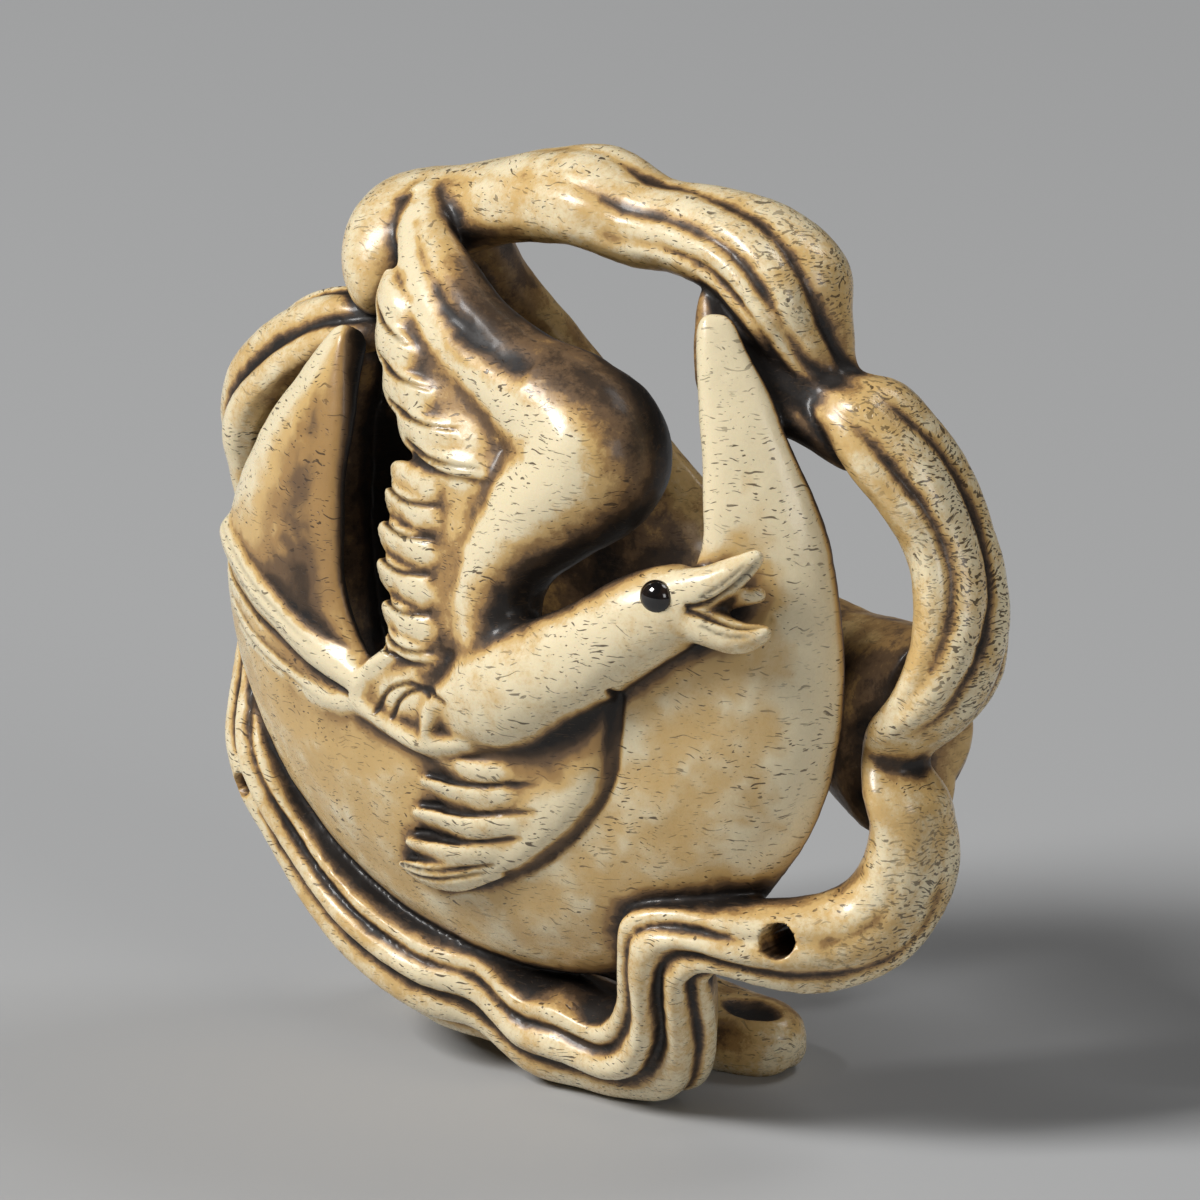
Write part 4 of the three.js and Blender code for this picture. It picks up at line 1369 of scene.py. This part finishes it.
@dataclass
class Carving:
    """The whole carving as one skin."""

    voxel: float = 0.14
    most_triangles: int = 192_000
    cord_hole_radii: tuple[float, float] = (0.85, 0.62)
    cord_hole_half_depth: float = 4.5
    fillet_rounds: int = 45
    feather_fillet: float = 0.12
    level_limit: float = 0.02
    fine_rounds: int = 14
    broad_rounds: int = 130
    rays: int = 12
    ray_reach: float = 14.0
    sources: list = field(default_factory=list)

    def gather(self) -> bpy.types.Object:
        """Every form in one mesh, still crossing each other."""
        whole = bmesh.new()
        scratch = bpy.data.meshes.new("scratch")
        for form in [*Clouds().forms(), *Moon().forms(), *Bird().forms()]:
            bm, points, places = form.build()
            bm.to_mesh(scratch)
            bm.free()
            whole.from_mesh(scratch)
            zone = np.full((len(points), 1), float(form.zone.value))
            self.sources.append(np.hstack([points, zone, places]))
        bpy.data.meshes.remove(scratch)
        return object_of(whole, "carving")

    def fuse(self, carving: bpy.types.Object) -> None:
        """Joins the crossing forms into one closed skin."""
        remesh = carving.modifiers.new("fuse", "REMESH")
        remesh.mode = "VOXEL"
        remesh.voxel_size = self.voxel
        settle(carving)
        skin = Skin(carving.data)
        skin.move(skin.relaxed(skin.points, 2, 0.5))

    def zones(self, skin: Skin) -> np.ndarray:
        """The zone of the form nearest to each point, and the place along and across it."""
        source = np.vstack(self.sources)
        tree = KDTree(len(source))
        for i, row in enumerate(source):
            tree.insert(row[:3], i)
        tree.balance()
        nearest = np.array([tree.find(point)[1] for point in skin.points])
        return source[nearest, 3:6]

    def fillet(self, skin: Skin, places: np.ndarray) -> None:
        """Runs the bird's smooth forms into each other by filling the creases between them."""
        zone, t, _ = places.T
        smooth = np.isin(zone, (Zone.BIRD.value, Zone.WING.value)).astype(float)
        rooted = self.feather_fillet + (1 - self.feather_fillet) * climb(t, 0.5, -0.5)
        share = skin.relaxed(smooth + (zone == Zone.FEATHER.value) * rooted, 3)
        points = skin.points
        for _ in range(self.fillet_rounds):
            mean = np.add.reduceat(points[skin.neighbours], skin.starts) / skin.degree[:, None]
            pull = mean - points
            rise = np.maximum(np.sum(pull * skin.normals, axis=1), 0)
            points = points + skin.normals * (rise * share)[:, None] + 0.09 * pull * share[:, None]
        skin.move(points)

    def cutters(self) -> list[Scoop]:
        """The cord holes, and the hollow scooped out of the foot."""

        def on_rim(theta: float, phi: float) -> Vector:
            """A point on the shell."""
            return Vector(RIM.at(np.array([theta]), np.array([phi]))[0][0])

        right, left = ((radius, radius, self.cord_hole_half_depth) for radius in self.cord_hole_radii)
        return [
            Scoop(on_rim(-38, 57), right, Vector((0.25, -1, 0.1)), straight=True),
            Scoop(on_rim(-150, 70), left, Vector((-0.6, -1, 0)), straight=True),
            Scoop(Vector((5.2, 4.6, 4.1)), (2.6, 1.7, 1.3), Vector((0.15, -0.35, 1))),
        ]

    def cut(self, carving: bpy.types.Object) -> None:
        """Cuts the holes and the foot's hollow, and levels the underside."""
        for scoop in self.cutters():
            cutter = scoop.build()
            boolean = carving.modifiers.new("cut", "BOOLEAN")
            boolean.operation = "DIFFERENCE"
            boolean.solver = "MANIFOLD"
            boolean.object = cutter
            settle(carving)
            bpy.data.objects.remove(cutter)
        skin = Skin(carving.data)
        points = skin.relaxed(skin.points, 1, 0.3)
        points[:, 2] = np.maximum(points[:, 2], 0.0)
        skin.move(points)

    def tree_of(self, skin: Skin) -> BVHTree:
        """A tree of the skin's faces for rays."""
        faces = [tuple(face.vertices) for face in skin.mesh.polygons]
        return BVHTree.FromPolygons(skin.points.tolist(), faces)

    def score(self, skin: Skin) -> np.ndarray:
        """Cuts the fine strokes, and tells how much stain each point holds from them."""
        tree = self.tree_of(skin)
        marks = []
        for groove in Strokes().grooves():
            marks += [(point, strength, groove) for point, strength in groove.marks(tree)]
        nearest = KDTree(len(marks))
        for i, mark in enumerate(marks):
            nearest.insert(mark[0], i)
        nearest.balance()
        depth = np.zeros(len(skin.points))
        ink = np.zeros(len(skin.points))
        for i, point in enumerate(skin.points):
            _, index, distance = nearest.find(point)
            _, strength, groove = marks[index]
            if distance < 3 * groove.width:
                depth[i] = groove.depth * strength * math.exp(-((distance / groove.width) ** 2))
                ink[i] = groove.ink * strength * math.exp(-((distance / (1.15 * groove.width)) ** 2))
        skin.move(skin.points - skin.normals * depth[:, None])
        return ink

    def work_surface(self, skin: Skin) -> None:
        """Adds the slight unevenness of hand carving, but leaves the underside level."""
        lift = np.zeros(len(skin.points))
        for fineness, height in ((0.45, 0.07), (1.7, 0.022)):
            lift += [noise.noise(Vector(point) * fineness) * height for point in skin.points]
        points = skin.points + skin.normals * lift[:, None]
        level = skin.points[:, 2] < self.level_limit
        points[:, 2] = np.where(level, skin.points[:, 2], np.maximum(points[:, 2], 0.0))
        skin.move(points)

    def thin(self, carving: bpy.types.Object) -> None:
        """Brings the triangles under the most that the piece may have."""
        bm = bmesh.new()
        bm.from_mesh(carving.data)
        bmesh.ops.triangulate(bm, faces=bm.faces)
        triangles = len(bm.faces)
        bm.to_mesh(carving.data)
        bm.free()
        decimate = carving.modifiers.new("thin", "DECIMATE")
        decimate.ratio = min(1.0, self.most_triangles / triangles)
        settle(carving)
        carving.data.polygons.foreach_set("use_smooth", [True] * len(carving.data.polygons))

    def blocked(self, skin: Skin) -> np.ndarray:
        """The share of the space round each point that the carving fills, from a fixed fan of rays."""
        tree = self.tree_of(skin)
        golden = math.pi * (3 - math.sqrt(5))
        fan = []
        for k in range(self.rays):
            rise = math.sqrt(1 - (k + 0.5) / self.rays)
            reach = math.sqrt(1 - rise * rise)
            fan.append((reach * math.cos(k * golden), reach * math.sin(k * golden), rise))
        blocked = np.zeros(len(skin.points))
        for i, (point, normal) in enumerate(zip(skin.points, skin.normals)):
            up = Vector(normal)
            side = up.orthogonal().normalized()
            other = up.cross(side)
            start = Vector(point) + up * 0.05
            hits = 0.0
            for a, b, c in fan:
                distance = tree.ray_cast(start, side * a + other * b + up * c, self.ray_reach)[3]
                if distance is not None:
                    hits += 1 - 0.5 * distance / self.ray_reach
            blocked[i] = hits / self.rays
        return skin.relaxed(blocked, 3)

    def measures(self, skin: Skin, ink: np.ndarray) -> dict[str, np.ndarray]:
        """What the stain needs from the skin while it is still at its finest."""
        return {
            "points": skin.points,
            "small": skin.hollowness(self.fine_rounds),
            "middle": skin.hollowness(self.broad_rounds),
            "ink": ink,
            "place": self.zones(skin),
        }

    def carried(self, skin: Skin, fine: dict[str, np.ndarray]) -> dict[str, np.ndarray]:
        """The measures of the finest skin, each read at the nearest of its points to a new skin's."""
        tree = KDTree(len(fine["points"]))
        for i, point in enumerate(fine["points"]):
            tree.insert(point, i)
        tree.balance()
        nearest = np.array([tree.find(point)[1] for point in skin.points])
        return {name: values[nearest] for name, values in fine.items()}

    def build(self) -> bpy.types.Object:
        """The finished carving, in metres, riding on the frame."""
        carving = self.gather()
        self.fuse(carving)
        skin = Skin(carving.data)
        self.fillet(skin, self.zones(skin))
        self.cut(carving)
        self.work_surface(Skin(carving.data))
        ink = self.score(Skin(carving.data))
        fine = self.measures(Skin(carving.data), ink)
        self.thin(carving)
        skin = Skin(carving.data)
        StainAndShade().lay(skin, self.carried(skin, fine), self.blocked(skin))
        carving.data.transform(Matrix.Scale(MM, 4))
        carving.name = "carving"
        carving.data.materials.clear()
        carving.data.materials.append(AntlerFinish().make())
        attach(carving, "root")
        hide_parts("carved_antler")
        return carving


@dataclass
class Eye:
    """The inlaid eye."""

    def build(self) -> bpy.types.Object:
        """A polished bead in the middle of the frame's inlay."""
        low, high = (Vector(corner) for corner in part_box("eye_inlay"))
        bm = bmesh.new()
        bmesh.ops.create_uvsphere(bm, u_segments=48, v_segments=32, radius=1)
        bmesh.ops.scale(bm, vec=(high - low) / 2, verts=bm.verts)
        bmesh.ops.translate(bm, vec=(low + high) / 2, verts=bm.verts)
        for face in bm.faces:
            face.smooth = True
        eye = object_of(bm, "eye")
        eye.data.materials.append(InlayFinish().make())
        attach(eye, "root")
        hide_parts("eye_inlay")
        return eye


@dataclass
class Studio:
    """The floor, the soft lights and the camera."""

    azimuth: float = 38.0
    elevation: float = 16.0
    distance: float = 400.0
    lens: float = 252.0
    aim_right: float = -0.381
    aim_up: float = 0.714
    light_distance: float = 1500.0
    lights: tuple = (("key", -30, 42, 480, 25), ("fill", 72, 20, 500, 3.6), ("top", 150, 58, 500, 4.0))
    floor_size: float = 8000.0

    def axes(self, azimuth: float, elevation: float) -> tuple[Vector, Vector, Vector]:
        """Unit vectors right, up and back for a view."""
        a, e = math.radians(azimuth), math.radians(elevation)
        back = Vector((math.sin(a) * math.cos(e), -math.cos(a) * math.cos(e), math.sin(e)))
        right = Vector((math.cos(a), math.sin(a), 0))
        return right, back.cross(right), back

    def camera(self) -> None:
        """The camera, square on to a point near the middle of the carving."""
        right, up, back = self.axes(self.azimuth, self.elevation)
        aim = Vector(MIDDLE) + right * self.aim_right + up * self.aim_up
        data = bpy.data.cameras.new("camera")
        data.lens = self.lens
        data.sensor_width = 36
        data.clip_start = 0.01
        camera = bpy.data.objects.new("camera", data)
        turn = Matrix((right, up, back)).transposed().to_4x4()
        camera.matrix_world = Matrix.Translation((aim + back * self.distance) * MM) @ turn
        bpy.context.scene.collection.objects.link(camera)
        bpy.context.scene.camera = camera

    def light(self, name: str, azimuth: float, elevation: float, size: float, power: float) -> None:
        """A square soft light that faces the carving.

        Args:
            name: The light's name.
            azimuth: Its direction round the carving, in degrees, as a view's is.
            elevation: Its height over the horizon, in degrees.
            size: Its side in millimetres.
            power: Its power in watts.
        """
        right, up, back = self.axes(azimuth, elevation)
        data = bpy.data.lights.new(name, "AREA")
        data.shape = "SQUARE"
        data.size = size * MM
        data.energy = power
        lamp = bpy.data.objects.new(name, data)
        turn = Matrix((right, up, back)).transposed().to_4x4()
        place = Vector(MIDDLE) + back * self.light_distance
        lamp.matrix_world = Matrix.Translation(place * MM) @ turn
        bpy.context.scene.collection.objects.link(lamp)

    def floor(self) -> None:
        """A wide level floor."""
        bm = bmesh.new()
        bmesh.ops.create_grid(bm, x_segments=1, y_segments=1, size=self.floor_size / 2 * MM)
        floor = object_of(bm, "floor")
        floor.data.materials.append(FloorFinish().make())

    def build(self) -> None:
        """Sets the whole studio up."""
        self.camera()
        for light in self.lights:
            self.light(*light)
        world = bpy.data.worlds.new("studio")
        world.use_nodes = True
        background = world.node_tree.nodes["Background"]
        background.inputs["Color"].default_value = colour(0.62, 0.63, 0.65)
        background.inputs["Strength"].default_value = 0.07
        bpy.context.scene.world = world
        bpy.context.scene.view_settings.view_transform = "Standard"
        self.floor()


def main() -> None:
    """Builds the carving, its eye and the studio."""
    logging.basicConfig(level=logging.INFO, format="%(name)s: %(message)s")
    Studio().build()
    for piece in (Carving().build(), Eye().build()):
        LOG.info("%s: %d faces", piece.name, len(piece.data.polygons))
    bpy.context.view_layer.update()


if __name__ == "__main__":
    main()
